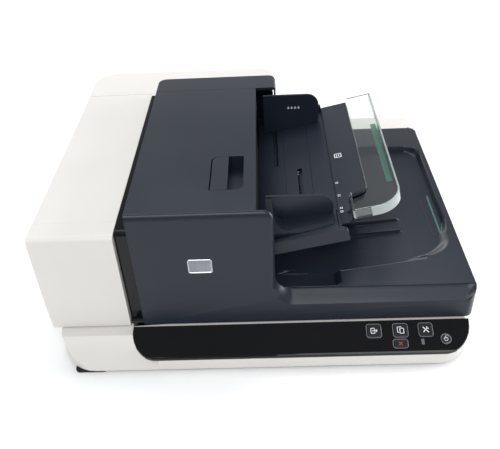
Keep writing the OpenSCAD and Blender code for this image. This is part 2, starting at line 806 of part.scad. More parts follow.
// Rack of one guide: side is -1 for the rear guide and 1 for the front one
module rack(side, y0, y1) {
    s = pinion_s + side * pitch_r;
    pitch = 2 * PI * pitch_r / tooth_n;
    on_tray() translate([0, 0, -11.5]) linear_extrude(5) {
        translate([s + (side > 0 ? 2.4 : -9), y0]) square([6.6, y1 - y0]);
        for (k = [floor((y0 - paper_y) / pitch) + 1 : ceil((y1 - paper_y) / pitch) - 2])
            translate([s, paper_y + (k + 0.5) * pitch])
                polygon([[side * 2.5, -1.8], [side * -1.6, -0.5], [side * -1.6, 0.5], [side * 2.5, 1.8]]);
    }
}

module guide_front() {
    color([0.15, 0.17, 0.20]) {
        front_prism(guide_plan(211, 105), guide_front_y - 3, guide_front_y);
        intersection() {
            front_prism(grip_plan(211, 104), guide_front_y - 30, guide_front_y - 2.5);
            side_prism([
                [guide_front_y - 2, 150], [guide_front_y - 2, 213], [guide_front_y - 3, 211],
                [guide_front_y - 30, 168], [guide_front_y - 30, 150]
            ], 10, 110);
        }
        on_tray() block([64, guide_front_y - 5, -7], [70, guide_front_y - 1, 3]);
        rack(1, guide_front_y - 5, guide_front_y + 152);
    }
}

module guide_rear() {
    color([0.15, 0.17, 0.20]) {
        front_prism(guide_plan(229, 105), guide_rear_y, guide_rear_y + 4);
        on_tray() block([28, guide_rear_y, -7], [34, guide_rear_y + 6, 8]);
        rack(-1, guide_rear_y - 152, guide_rear_y + 6);
    }
}

module guide_pinion() {
    color([0.85, 0.85, 0.82]) on_tray() translate([pinion_s, paper_y, -12]) {
        linear_extrude(5.6) {
            circle(r = 13.6);
            for (i = [0:tooth_n - 1]) rotate(360 / tooth_n * i)
                polygon([[13, -1.8], [17.6, -0.5], [17.6, 0.5], [13, 1.8]]);
        }
        translate([0, 0, -4.7]) cylinder(h = 5, r = 3);
    }
}

// Plan of the clear extension's outer edge
function extension_plan(d) = concat(
    [[100 + d, -88 + d]],
    [[134 + d, -88 + d], [134 + d, -158 + d], [160, -158 + d]],
    arc(168, -122, 36 - d, 270, 360),
    [[204 - d, 154 - d], [162, 154 - d], [162, 140 - d], [100 + d, 140 - d]]
);

module tray_extension() {
    color([0.80, 0.86, 0.84, 0.35]) on_tray() {
        translate([0, 0, -10]) linear_extrude(2.5) polygon(extension_plan(0.5));
        translate([0, 0, -10]) linear_extrude(15) difference() {
            polygon(extension_plan(0.5));
            polygon(extension_plan(3.5));
            translate([90, -100]) square([72, 260]);
            polygon(tray_end_plan(0.6));
        }
    }
}

base_shell();
base_pan();
feet();
hinge_bay();
hinge_blocks();
glass_frame();
flatbed_glass();
feeder_glass();
control_panel();
status_light();
main_board();
connector_plate();
power_inlet();
data_port();
carriage_rail();
carriage_belt();
carriage_motor();
scan_carriage();
carriage_lamp();
belt_drive_pulley();
belt_idler_pulley();
scan_button();
copy_button();
tools_button();
cancel_button();
power_button();
lid_frame();
lid_hinge_pins();
platen_pad();
side_front_cover();
side_cover();
rear_side_cover();
rear_strip();
trim_strip();
front_cover();
badge();
rear_cover();
output_tray();
paper_stop();
feeder_frame();
paper_guide();
second_side_sensor();
feed_motor();
feed_belt();
feed_roller();
separation_roller();
turn_roller();
exit_roller();
hatch();
pinch_rollers();
hatch_latch();
input_tray();
input_tray_base();
guide_front();
guide_rear();
guide_pinion();
tray_extension();
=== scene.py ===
"""Looks of a large sheet fed document scanner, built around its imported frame.

Lengths are in millimetres in the frame's own axes, and MM turns them to metres.
"""
from __future__ import annotations

import json
import logging
import math
from dataclasses import dataclass, field
from enum import Enum
from typing import Callable, Iterable, Sequence

import bmesh
import bpy
from mathutils import Matrix, Vector

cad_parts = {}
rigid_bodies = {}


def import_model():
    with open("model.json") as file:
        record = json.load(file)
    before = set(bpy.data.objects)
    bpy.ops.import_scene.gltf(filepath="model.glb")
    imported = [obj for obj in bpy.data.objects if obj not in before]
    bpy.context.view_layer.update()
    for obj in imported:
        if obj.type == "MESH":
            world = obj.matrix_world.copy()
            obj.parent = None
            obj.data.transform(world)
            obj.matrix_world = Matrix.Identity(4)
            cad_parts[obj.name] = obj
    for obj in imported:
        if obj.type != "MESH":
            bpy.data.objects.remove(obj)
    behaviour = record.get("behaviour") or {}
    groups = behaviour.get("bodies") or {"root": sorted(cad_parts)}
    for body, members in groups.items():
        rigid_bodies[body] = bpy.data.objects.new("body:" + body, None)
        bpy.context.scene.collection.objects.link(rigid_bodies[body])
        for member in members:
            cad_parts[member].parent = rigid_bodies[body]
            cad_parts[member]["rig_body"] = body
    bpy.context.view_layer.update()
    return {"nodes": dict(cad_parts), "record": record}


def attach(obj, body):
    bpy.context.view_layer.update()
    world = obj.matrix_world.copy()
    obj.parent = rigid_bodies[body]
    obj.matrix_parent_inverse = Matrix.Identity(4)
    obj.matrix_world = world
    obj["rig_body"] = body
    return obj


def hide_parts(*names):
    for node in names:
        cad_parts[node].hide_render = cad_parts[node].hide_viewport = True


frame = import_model()

MM = 0.001
LOG = logging.getLogger("scanner")
Point2 = tuple[float, float]
Point3 = tuple[float, float, float]
Put = Callable[[float, float, float], Point3]
Stroke = tuple[Point2, Point2]


class Axis(Enum):
    """Squeeze that makes a metal's working lines run along an axis."""

    X = (0.04, 1.0, 1.0)
    Y = (1.0, 0.04, 1.0)


# ---------------------------------------------------------------- helpers


def srgb(code: str, alpha: float = 1.0) -> tuple[float, float, float, float]:
    """Turns an sRGB hex colour to linear light.

    Args:
        code: Six hex digits after a hash sign.
        alpha: Opacity that goes with it.

    Returns:
        Linear red, green, blue and alpha.
    """
    parts = [int(code[i:i + 2], 16) / 255 for i in (1, 3, 5)]
    linear = [c / 12.92 if c <= 0.04045 else ((c + 0.055) / 1.055) ** 2.4 for c in parts]
    return (linear[0], linear[1], linear[2], alpha)


def per_mm(spacing: float) -> float:
    """Texture scale, in repeats per metre, of a pattern with this spacing in millimetres."""
    return 1.0 / (spacing * MM)


def add_node(
    tree: bpy.types.NodeTree,
    kind: str,
    settings: dict[str, object] | None = None,
    values: dict[str, object] | None = None,
    links: dict[str, bpy.types.NodeSocket] | None = None,
) -> bpy.types.Node:
    """Adds one shader node.

    Args:
        tree: Node tree of the material.
        kind: Blender's name for the node type.
        settings: Properties of the node.
        values: Default values of its inputs, by name.
        links: Sockets that feed its inputs, by name.

    Returns:
        The new node.
    """
    node = tree.nodes.new(kind)
    for key, value in (settings or {}).items():
        setattr(node, key, value)
    for key, value in (values or {}).items():
        node.inputs[key].default_value = value
    for key, socket in (links or {}).items():
        tree.links.new(socket, node.inputs[key])
    return node


def arc(centre: Point2, radius: float, start: float, stop: float, steps: int = 10) -> list[Point2]:
    """Points along an arc.

    Args:
        centre: Centre of the arc.
        radius: Its radius.
        start: First angle in degrees.
        stop: Last angle in degrees.
        steps: Number of chords.

    Returns:
        The points, ends included.
    """
    angles = [math.radians(start + (stop - start) * i / steps) for i in range(steps + 1)]
    return [(centre[0] + radius * math.cos(a), centre[1] + radius * math.sin(a)) for a in angles]


def smoothstep(low: float, high: float, value: float) -> float:
    """Smooth ramp from 0 at low to 1 at high."""
    t = min(1.0, max(0.0, (value - low) / (high - low)))
    return t * t * (3 - 2 * t)


def round_rect_distance(p: Point2, low: Point2, high: Point2, radii: Sequence[float]) -> float:
    """Signed distance to a rectangle with rounded corners, negative inside.

    Args:
        p: Point in plan.
        low: Lowest corner.
        high: Highest corner.
        radii: Radii of the corners near left, near right, far right and far left.

    Returns:
        The distance.
    """
    cx, cy = (low[0] + high[0]) / 2, (low[1] + high[1]) / 2
    dx, dy = p[0] - cx, p[1] - cy
    r = radii[(1 if dx > 0 else 0) if dy < 0 else (2 if dx > 0 else 3)]
    qx, qy = abs(dx) - (high[0] - low[0]) / 2 + r, abs(dy) - (high[1] - low[1]) / 2 + r
    return min(max(qx, qy), 0.0) + math.hypot(max(qx, 0.0), max(qy, 0.0)) - r


# ---------------------------------------------------------------- finishes


@dataclass(frozen=True)
class Canvas:
    """A material under way: its node tree, its Principled node and the place on the object in metres."""

    tree: bpy.types.NodeTree
    shader: bpy.types.Node
    place: bpy.types.NodeSocket

    def set(self, values: dict[str, object]) -> None:
        """Sets uniform values on the Principled node, by the names of its inputs."""
        for key, value in values.items():
            self.shader.inputs[key].default_value = value

    def noise(
        self, spacing: float, detail: float, vector: bpy.types.NodeSocket | None = None, roughness: float = 0.5
    ) -> bpy.types.NodeSocket:
        """Adds noise.

        Args:
            spacing: Size of its patches in millimetres.
            detail: Number of finer layers.
            vector: Position to read it at, if that isn't the place itself.
            roughness: Weight of the finer layers.

        Returns:
            Its value, from 0 to 1.
        """
        node = add_node(
            self.tree, "ShaderNodeTexNoise",
            values={"Scale": per_mm(spacing), "Detail": detail, "Roughness": roughness},
            links={"Vector": self.place if vector is None else vector},
        )
        return node.outputs["Fac"]

    def squeezed(self, scale: Point3, turn: float = 0.0) -> bpy.types.NodeSocket:
        """Squeezes the place, so that a pattern read there is drawn out into lines.

        Args:
            scale: Factor along each axis; a small one gives long lines.
            turn: Turn about Z in radians.

        Returns:
            The squeezed position.
        """
        node = add_node(
            self.tree, "ShaderNodeMapping", values={"Scale": scale, "Rotation": (0.0, 0.0, turn)},
            links={"Vector": self.place},
        )
        return node.outputs["Vector"]

    def vary_roughness(self, mean: float, patch: float, spread: float) -> None:
        """Lets the roughness drift in soft patches, as handling and moulding leave it.

        Args:
            mean: Mean roughness.
            patch: Size of a patch in millimetres.
            spread: Largest step from the mean.
        """
        cloud = self.noise(patch, detail=3.0)
        low, high = mean - spread, mean + spread
        ramp = add_node(
            self.tree, "ShaderNodeMapRange",
            values={"From Min": 0.3, "From Max": 0.7, "To Min": low, "To Max": high}, links={"Value": cloud},
        )
        self.tree.links.new(ramp.outputs["Result"], self.shader.inputs["Roughness"])

    def vary_colour(self, first: str, other: str, patch: float, low: float = 0.35, high: float = 0.75) -> None:
        """Mixes a second colour into the first in patches.

        Args:
            first: First colour as sRGB hex.
            other: Second colour as sRGB hex.
            patch: Size of a patch in millimetres.
            low: Noise value where the first colour starts to give way.
            high: Noise value where the second colour is full.
        """
        ramp = add_node(self.tree, "ShaderNodeValToRGB", links={"Fac": self.noise(patch, detail=4.0)})
        start, stop = ramp.color_ramp.elements
        start.position, start.color = low, srgb(first)
        stop.position, stop.color = high, srgb(other)
        self.tree.links.new(ramp.outputs["Color"], self.shader.inputs["Base Color"])

    def bump(self, height: bpy.types.NodeSocket, depth: float) -> None:
        """Feeds a height pattern to the normal.

        Args:
            height: Pattern from 0 to 1.
            depth: Depth of the pattern in millimetres.
        """
        values = {"Strength": 1.0, "Distance": depth * MM}
        node = add_node(self.tree, "ShaderNodeBump", values=values, links={"Height": height})
        self.tree.links.new(node.outputs["Normal"], self.shader.inputs["Normal"])


@dataclass(frozen=True)
class Finish:
    """Base of every finish: a named Principled material with its own pattern."""

    name: str
    colour: str
    roughness: float
    ior: float = 1.5

    def material(self) -> bpy.types.Material:
        """Builds the material once, and then shares it.

        Returns:
            The material.
        """
        known = bpy.data.materials.get(self.name)
        if known:
            return known
        made = bpy.data.materials.new(self.name)
        made.use_nodes = True
        tree = made.node_tree
        place = add_node(tree, "ShaderNodeTexCoord").outputs["Object"]
        canvas = Canvas(tree, tree.nodes["Principled BSDF"], place)
        canvas.set({"Base Color": srgb(self.colour), "Roughness": self.roughness, "IOR": self.ior})
        self.dress(canvas)
        return made

    def dress(self, canvas: Canvas) -> None:
        """Adds the pattern of the finish.

        Args:
            canvas: The material under way.
        """


@dataclass(frozen=True)
class MouldedAbs(Finish):
    """ABS moulded in a spark-eroded tool: a fine even grain that scatters the highlight."""

    grain: float = 0.9
    depth: float = 0.008
    tint: str = "#202124"
    coat: float = 0.0
    shine: float = 0.5

    def dress(self, canvas: Canvas) -> None:
        """Adds the spark grain, a slow colour drift and handling marks.

        Args:
            canvas: The material under way.
        """
        # The real grain is about 0.1 mm; it is drawn coarser so that it shows.
        canvas.bump(canvas.noise(self.grain, detail=5.0, roughness=0.65), self.depth)
        canvas.vary_roughness(self.roughness, patch=90.0, spread=0.025)
        canvas.vary_colour(self.colour, self.tint, patch=120.0)
        canvas.set({"Specular IOR Level": self.shine, "Coat Weight": self.coat, "Coat Roughness": 0.08})


@dataclass(frozen=True)
class PolishedAbs(Finish):
    """ABS moulded against a polished tool: deep gloss with hairlines from dusting."""

    film: str = "#0b0b0d"
    shine: float = 0.3

    def dress(self, canvas: Canvas) -> None:
        """Adds long shallow hairlines and a faint film.

        Args:
            canvas: The material under way.
        """
        along = canvas.squeezed((0.12, 1.0, 1.0), turn=0.35)
        canvas.bump(canvas.noise(1.1, detail=6.0, vector=along), 0.0025)
        canvas.vary_roughness(self.roughness, patch=45.0, spread=0.03)
        canvas.vary_colour(self.colour, self.film, patch=90.0)
        canvas.set({"Specular IOR Level": self.shine})


@dataclass(frozen=True)
class ClearPlate(Finish):
    """Clear glass or polycarbonate: light goes through, and edges pick up a tint."""

    ripple: float = 0.01
    weight: float = 1.0

    def dress(self, canvas: Canvas) -> None:
        """Adds slight flow lines and wiping marks.

        Args:
            canvas: The material under way.
        """
        canvas.set({"Transmission Weight": self.weight})
        canvas.bump(canvas.noise(14.0, detail=2.0), self.ripple)
        canvas.vary_roughness(self.roughness, patch=30.0, spread=self.roughness * 0.5)


@dataclass(frozen=True)
class WorkedMetal(Finish):
    """Metal drawn, ground or plated: lines along one axis draw its highlight out across them."""

    run: Axis = Axis.X
    line: float = 0.5
    other: str = "#8c8f93"

    def dress(self, canvas: Canvas) -> None:
        """Adds lines along the axis that the metal was worked in.

        Args:
            canvas: The material under way.
        """
        canvas.set({"Metallic": 1.0, "Anisotropic": 0.4})
        along = canvas.squeezed(self.run.value)
        canvas.bump(canvas.noise(self.line, detail=4.0, vector=along), 0.01)
        canvas.vary_colour(self.colour, self.other, patch=25.0)
        canvas.vary_roughness(self.roughness, patch=18.0, spread=0.06)


@dataclass(frozen=True)
class GroundRubber(Finish):
    """Rubber sleeve ground to size: matt, with fine rings round it and a dusty bloom."""

    bloom: str = "#3a3b3d"

    def dress(self, canvas: Canvas) -> None:
        """Adds grinding rings across the axle and the bloom.

        Args:
            canvas: The material under way.
        """
        around = canvas.squeezed((0.15, 1.0, 0.15))
        canvas.bump(canvas.noise(0.8, detail=3.0, vector=around), 0.06)
        canvas.vary_colour(self.colour, self.bloom, patch=9.0, low=0.45, high=0.85)


@dataclass(frozen=True)
class CircuitLaminate(Finish):
    """Glass-epoxy board under green solder mask: copper tracks show through it as lighter lines."""

    lighter: str = "#12502e"
    track: str = "#2f8a55"

    def dress(self, canvas: Canvas) -> None:
        """Adds a lattice of tracks that the mask lifts slightly.

        Args:
            canvas: The material under way.
        """
        tracks = add_node(
            canvas.tree, "ShaderNodeTexBrick",
            values={
                "Scale": per_mm(12.0), "Mortar Size": 0.035, "Brick Width": 0.9, "Row Height": 0.3,
                "Color1": srgb(self.colour), "Color2": srgb(self.lighter), "Mortar": srgb(self.track),
            },
            links={"Vector": canvas.place},
        )
        canvas.tree.links.new(tracks.outputs["Color"], canvas.shader.inputs["Base Color"])
        canvas.bump(tracks.outputs["Fac"], 0.04)


@dataclass(frozen=True)
class PrintedInk(Finish):
    """Pad-printed ink: opaque, flat and slightly uneven at its rim."""

    def dress(self, canvas: Canvas) -> None:
        """Adds the slight mottling of a printed film.

        Args:
            canvas: The material under way.
        """
        canvas.bump(canvas.noise(0.7, detail=3.0), 0.01)
        canvas.vary_roughness(self.roughness, patch=6.0, spread=0.08)


@dataclass(frozen=True)
class LightPipe(Finish):
    """Milky acrylic that carries the light of a small diode: cloudy, with a weak glow."""

    glow: float = 0.6

    def dress(self, canvas: Canvas) -> None:
        """Adds the diffuser's cloudiness and a weak glow.

        Args:
            canvas: The material under way.
        """
        canvas.set({
            "Transmission Weight": 0.3, "Emission Color": srgb(self.colour), "Emission Strength": self.glow,
        })
        canvas.vary_roughness(self.roughness, patch=2.0, spread=0.1)


WHITE_ABS = MouldedAbs("white_abs_moulded", "#dad7d3", 0.42, tint="#d6d3ce")
SLATE_ABS = MouldedAbs("slate_abs_moulded", "#1b222d", 0.33, tint="#191f2a", shine=0.35)
INNER_ABS = MouldedAbs("black_abs_inner", "#1c1e22", 0.55, grain=1.4, depth=0.03, tint="#222429")
PAN_ABS = MouldedAbs("black_abs_coarse", "#15161a", 0.62, grain=1.8, depth=0.08, tint="#1b1c20")
FRAME_ABS = MouldedAbs("grey_abs_moulded", "#b9bab8", 0.48, tint="#b2b3b1")
KEY_ABS = MouldedAbs("black_key_cap", "#111216", 0.22, grain=1.2, depth=0.006, tint="#15161b", coat=0.4)
GLOSS_ABS = PolishedAbs("black_abs_polished", "#060607", 0.07)
CLEAR_PC = ClearPlate("clear_polycarbonate", "#eef4f2", 0.04, 1.585)
# Green clear sheet that paints the tint which light picks up passing through the extension's rim wall; the
# extension has no such part.
PAINTED_EDGE_TINT_PC = ClearPlate("painted_edge_tint_polycarbonate", "#7fb8a6", 0.08, 1.585, weight=0.75)
# Whitish, less clear plate laid over the extension's clear rim and ridges: the rim and ridges are real, their
# whitish colour is painted highlight.
RIM_HIGHLIGHT_PC = ClearPlate("thick_rim_polycarbonate_painted_highlight", "#e6eded", 0.06, 1.585, weight=0.62)
SEA_PC = ClearPlate("sea_green_polycarbonate", "#86c9b6", 0.06, 1.585, weight=0.7)
PLATE_GLASS = ClearPlate("float_glass", "#dfeeea", 0.02, 1.52, ripple=0.002)
LAMP_LENS = ClearPlate("lens_window", "#cfdfea", 0.05, 1.52, ripple=0.004, weight=0.8)
PAD_FOIL = MouldedAbs("white_foil_pad", "#eeeeec", 0.6, grain=2.2, depth=0.05, tint="#e8e8e6")
ACETAL = MouldedAbs("natural_acetal", "#d8d6cc", 0.4, grain=1.5, depth=0.01, tint="#cfcdc2")
SHAFT_STEEL = WorkedMetal("ground_shaft_steel", "#b9bcc0", 0.22, run=Axis.X, line=0.4, other="#a5a8ad")
ZINC_STEEL = WorkedMetal("zinc_plated_steel", "#a3a6aa", 0.38, run=Axis.X, line=1.5, other="#8b8e94")
BADGE_METAL = WorkedMetal("bright_badge_metal", "#c9cbcf", 0.2, run=Axis.X, line=0.6, other="#b7b9be")
SATIN_CAP = WorkedMetal("satin_power_cap", "#8d9096", 0.3, run=Axis.Y, line=0.6, other="#7d8087")
FOOT_RUBBER = GroundRubber("moulded_foot_rubber", "#101012", 0.8)
ROLLER_RUBBER = GroundRubber("ground_roller_rubber", "#232428", 0.75)
BELT_RUBBER = GroundRubber("belt_rubber", "#0e0e10", 0.7)
BOARD = CircuitLaminate("solder_masked_board", "#0f4527", 0.3)
WHITE_INK = PrintedInk("white_pad_print", "#e8eaec", 0.5)
RED_INK = PrintedInk("red_pad_print", "#c2282c", 0.5)
STATUS_GLOW = LightPipe("status_light_pipe", "#565c61", 0.02)


# ---------------------------------------------------------------- pieces


def body_of_node(node: str) -> str:
    """Name of the CAD body that a node rides on."""
    return frame["nodes"][node]["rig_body"]


def slot_of_node(node: str) -> str:
    """Name of the record's material slot of a node."""
    return next(s["material_slot"] for s in frame["record"]["subparts"] if s["node"] == node)


def finish_mesh(mesh: bpy.types.Mesh, finish: Finish, angle: float) -> None:
    """Shades a mesh smooth up to an edge angle and gives it its material.

    Args:
        mesh: Mesh to finish.
        finish: Its finish.
        angle: Edges sharper than this, in degrees, stay sharp.
    """
    mesh.materials.clear()
    mesh.materials.append(finish.material())
    for polygon in mesh.polygons:
        polygon.use_smooth = True
        polygon.material_index = 0
    mesh.set_sharp_from_angle(angle=math.radians(angle))


def place_piece(
    mesh: bpy.types.Mesh, finish: Finish, node: str, replace: bool = False, angle: float = 32.0
) -> bpy.types.Object:
    """Puts a mesh in the scene as a piece that goes with a CAD node, under the mesh's name.

    Args:
        mesh: Its mesh, in metres.
        finish: Its finish.
        node: CAD node whose body it takes.
        replace: Whether it stands for that node.
        angle: Edges sharper than this, in degrees, stay sharp.

    Returns:
        The piece.
    """
    finish_mesh(mesh, finish, angle)
    piece = bpy.data.objects.new(mesh.name, mesh)
    bpy.context.scene.collection.objects.link(piece)
    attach(piece, body_of_node(node))
    slot_of_node(node)
    if replace:
        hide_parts(node)
    LOG.info("%s: %d faces on %s", piece.name, len(mesh.polygons), body_of_node(node))
    return piece


def round_edges(piece: bpy.types.Object, width: float, segments: int = 3, angle: float = 30.0) -> None:
    """Rounds the sharp edges of a piece with a bevel.

    Args:
        piece: The piece.
        width: Width of the bevel in millimetres.
        segments: Steps across it.
        angle: Edges sharper than this, in degrees, are rounded.
    """
    bevel = piece.modifiers.new("rounded_edges", "BEVEL")
    bevel.width = width * MM
    bevel.segments = segments
    bevel.limit_method = "ANGLE"
    bevel.angle_limit = math.radians(angle)
    bevel.use_clamp_overlap = True
    bevel.miter_outer = "MITER_ARC"
    level = piece.modifiers.new("level_faces", "WEIGHTED_NORMAL")
    level.mode = "FACE_AREA"
    level.weight = 100
    level.keep_sharp = False


def moulded_from(node: str, finish: Finish, edge: float, segments: int = 3) -> bpy.types.Object:
    """Makes the moulded form of a CAD node: the same shape with its edges rounded.

    Args:
        node: CAD node that the piece stands for.
        finish: Its finish.
        edge: Width of the rounded edges in millimetres.
        segments: Steps across an edge.

    Returns:
        The piece.
    """
    shape = bmesh.new()
    shape.from_mesh(frame["nodes"][node].data)
    bmesh.ops.remove_doubles(shape, verts=shape.verts, dist=0.002 * MM)
    bmesh.ops.dissolve_limit(
        shape, angle_limit=math.radians(1.0), verts=shape.verts, edges=shape.edges, use_dissolve_boundaries=False
    )
    bmesh.ops.recalc_face_normals(shape, faces=shape.faces)
    mesh = bpy.data.meshes.new(node + "_moulded")
    shape.to_mesh(mesh)
    shape.free()
    piece = place_piece(mesh, finish, node, replace=True)
    round_edges(piece, edge, segments)
    return piece


def dress_node(node: str, finish: Finish) -> None:
    """Gives a CAD node that keeps its own mesh a better material.

    Args:
        node: The CAD node.
        finish: Its finish.
    """
    shown = frame["nodes"][node]
    shown.data.materials.clear()
    shown.data.materials.append(finish.material())
    LOG.info("%s keeps its CAD mesh in %s", node, finish.name)


def mesh_from(name: str, points: Iterable[Point3], faces: Iterable[Sequence[int]]) -> bpy.types.Mesh:
    """Builds a mesh from points in millimetres and faces.

    Args:
        name: Name of the mesh.
        points: Corner points.
        faces: Corners of each face, by index.

    Returns:
        The mesh, with its normals facing out.
    """
    shape = bmesh.new()
    corners = [shape.verts.new(Vector(p) * MM) for p in points]
    for face in faces:
        shape.faces.new([corners[i] for i in face])
    bmesh.ops.remove_doubles(shape, verts=shape.verts, dist=0.001 * MM)
    bmesh.ops.recalc_face_normals(shape, faces=shape.faces)
    mesh = bpy.data.meshes.new(name)
    shape.to_mesh(mesh)
    shape.free()
    return mesh


def loft(name: str, rings: Sequence[Sequence[Point3]], closed: bool = False) -> bpy.types.Mesh:
    """Joins closed rings of equal length into one skin.

    Args:
        name: Name of the mesh.
        rings: Rings of points in millimetres, from one end to the other.
        closed: Whether the last ring joins the first, as round an opening, where otherwise both ends are capped.

    Returns:
        The mesh.
    """
    count = len(rings[0])
    faces: list[list[int]] = []
    for k in range(len(rings) if closed else len(rings) - 1):
        n = (k + 1) % len(rings)
        for i in range(count):
            j = (i + 1) % count
            faces.append([k * count + i, k * count + j, n * count + j, n * count + i])
    if not closed:
        last = (len(rings) - 1) * count
        faces += [list(range(count))[::-1], [last + i for i in range(count)]]
    return mesh_from(name, [p for ring in rings for p in ring], faces)


def plate(outline: Sequence[Point2], low: float, high: float, put: Put) -> list[list[Point3]]:
    """Two rings of a flat plate.

    Args:
        outline: Outline in the plate's own plane.
        low: Height of the first ring.
        high: Height of the second.
        put: Turns the plate's coordinates to the frame's.

    Returns:
        Rings for loft().
    """
    return [[put(x, y, h) for x, y in outline] for h in (low, high)]


def rounded_outline(low: Point2, high: Point2, radii: Sequence[float], steps: int = 8) -> list[Point2]:
    """Outline of a rectangle with rounded corners.

    Args:
        low: Lowest corner.
        high: Highest corner.
        radii: Radii of the corners near left, near right, far right and far left.
        steps: Chords in each corner.

    Returns:
        The outline, anticlockwise.
    """
    (x0, y0), (x1, y1), r = low, high, radii
    return (
        arc((x0 + r[0], y0 + r[0]), r[0], 180, 270, steps)
        + arc((x1 - r[1], y0 + r[1]), r[1], 270, 360, steps)
        + arc((x1 - r[2], y1 - r[2]), r[2], 0, 90, steps)
        + arc((x0 + r[3], y1 - r[3]), r[3], 90, 180, steps)
    )


@dataclass(frozen=True)
class Slope:
    """A tilted frame on the machine that marks and keys are laid out in."""

    origin: Point3
    tilt: float
    about_x: bool

    def put(self, u: float, v: float, h: float) -> Point3:
        """Turns a place on the slope to the frame's axes.

        Args:
            u: Along X on the panel, or up the slope of the tray.
            v: Up the slope of the panel, or along Y on the tray.
            h: Height off the slope.

        Returns:
            The point in millimetres.
        """
        c, s = math.cos(math.radians(self.tilt)), math.sin(math.radians(self.tilt))
        x, y, z = self.origin
        if self.about_x:
            return (x + u, y + v * c - h * s, z + v * s + h * c)
        return (x + u * c - h * s, y + v, z + u * s + h * c)


PANEL = Slope((0.0, -230.0, 46.5), 22.6, about_x=True)
TRAY = Slope((0.0, 0.0, 154.0), 12.5, about_x=False)


@dataclass(frozen=True)
class Mark:
    """A small printed or raised mark built from strokes on a slope or plane."""

    strokes: tuple[Stroke, ...]
    width: float

    def mesh(self, name: str, put: Put, low: float, high: float) -> bpy.types.Mesh:
        """Builds the strokes as thin bars with rounded ends.

        Args:
            name: Name of the mesh.
            put: Turns the mark's coordinates to the frame's.
            low: Height of the bars' underside.
            high: Height of their top.

        Returns:
            The mesh.
        """
        shape = bmesh.new()
        for (x0, y0), (x1, y1) in self.strokes:
            lean = math.degrees(math.atan2(y1 - y0, x1 - x0))
            half = self.width / 2
            outline = arc((x1, y1), half, lean - 90, lean + 90, 6) + arc((x0, y0), half, lean + 90, lean + 270, 6)
            bar = loft(name + "_stroke", plate(outline, low, high, put))
            shape.from_mesh(bar)
            bpy.data.meshes.remove(bar)
        mesh = bpy.data.meshes.new(name)
        shape.to_mesh(mesh)
        shape.free()
        return mesh


def path_strokes(points: Sequence[Point2], closed: bool = False) -> tuple[Stroke, ...]:
    """Strokes that join points in turn.

    Args:
        points: Points of the path.
        closed: Whether the last joins the first.

    Returns:
        The strokes.
    """
    ends = list(points[1:]) + ([points[0]] if closed else [])
    return tuple(zip(points, ends))


# ---------------------------------------------------------------- sub-assemblies


@dataclass
class ScannerBase:
    """Base with its shell, deck, glasses and feet."""

    shell_edge: float = 2.0
    foot_edge: float = 1.2
    dressed: dict[str, Finish] = field(default_factory=lambda: {
        "flatbed_glass": PLATE_GLASS, "feeder_glass": PLATE_GLASS, "hinge_bay": INNER_ABS,
        "main_board": BOARD, "power_inlet": INNER_ABS, "data_port": SHAFT_STEEL,
        "carriage_rail": SHAFT_STEEL, "carriage_belt": BELT_RUBBER, "carriage_motor": ZINC_STEEL,
        "carriage_lamp": LAMP_LENS, "belt_drive_pulley": ACETAL, "belt_idler_pulley": ACETAL,
    })

    def build(self) -> None:
        """Builds the shell's pieces and dresses what lies inside it."""
        moulded_from("base_shell", WHITE_ABS, self.shell_edge)
        moulded_from("base_pan", PAN_ABS, 0.8, 2)
        moulded_from("feet", FOOT_RUBBER, self.foot_edge)
        moulded_from("glass_frame", FRAME_ABS, 0.6, 2)
        moulded_from("hinge_blocks", ZINC_STEEL, 0.8, 2)
        moulded_from("connector_plate", ZINC_STEEL, 0.4, 2)
        moulded_from("scan_carriage", INNER_ABS, 0.8, 2)
        for node, finish in self.dressed.items():
            dress_node(node, finish)


@dataclass(frozen=True)
class Key:
    """A square key: its CAD node, middle on the panel, size and the mark on it."""

    node: str
    middle: Point2
    width: float
    length: float
    ink: Finish
    strokes: tuple[Stroke, ...]
    stroke: float = 0.9


# Outline of a page in the keys' marks, which are drawn about the middle of each key
PAGE = ((-2.6, -3.6), (2.6, -3.6), (2.6, 3.6), (-2.6, 3.6))
KEYS = (
    Key("scan_button", (158, -15), 19, 18, WHITE_INK, (
        *path_strokes([(x - 1.6, y) for x, y in PAGE], True),
        *path_strokes([(-2.2, 0), (4.6, 0)]),
        *path_strokes([(2.9, 1.7), (4.6, 0), (2.9, -1.7)]),
    )),
    Key("copy_button", (195, -15), 19, 18, WHITE_INK, (
        *path_strokes([(x + 1.7, y - 0.9) for x, y in PAGE], True),
        *path_strokes([(-2.6, -3.2), (-4.3, -3.2), (-4.3, 4.6), (1.4, 4.6)]),
    )),
    Key("tools_button", (230, -15), 18, 18, WHITE_INK, (
        *path_strokes([(-3.2, -3.2), (1.6, 1.6)]),
        *path_strokes([(3.9, 1.7), (1.6, 1.6), (1.7, 3.9)]),
        *path_strokes([(-3.4, 3.4), (-1.2, 1.2)]),
        *path_strokes([(1.2, -1.2), (3.6, -3.6)]),
    ), 1.3),
    Key("cancel_button", (193, -34), 19, 11, RED_INK, (
        *path_strokes([(-2.0, -2.0), (2.0, 2.0)]),
        *path_strokes([(-2.0, 2.0), (2.0, -2.0)]),
    ), 1.1),
)


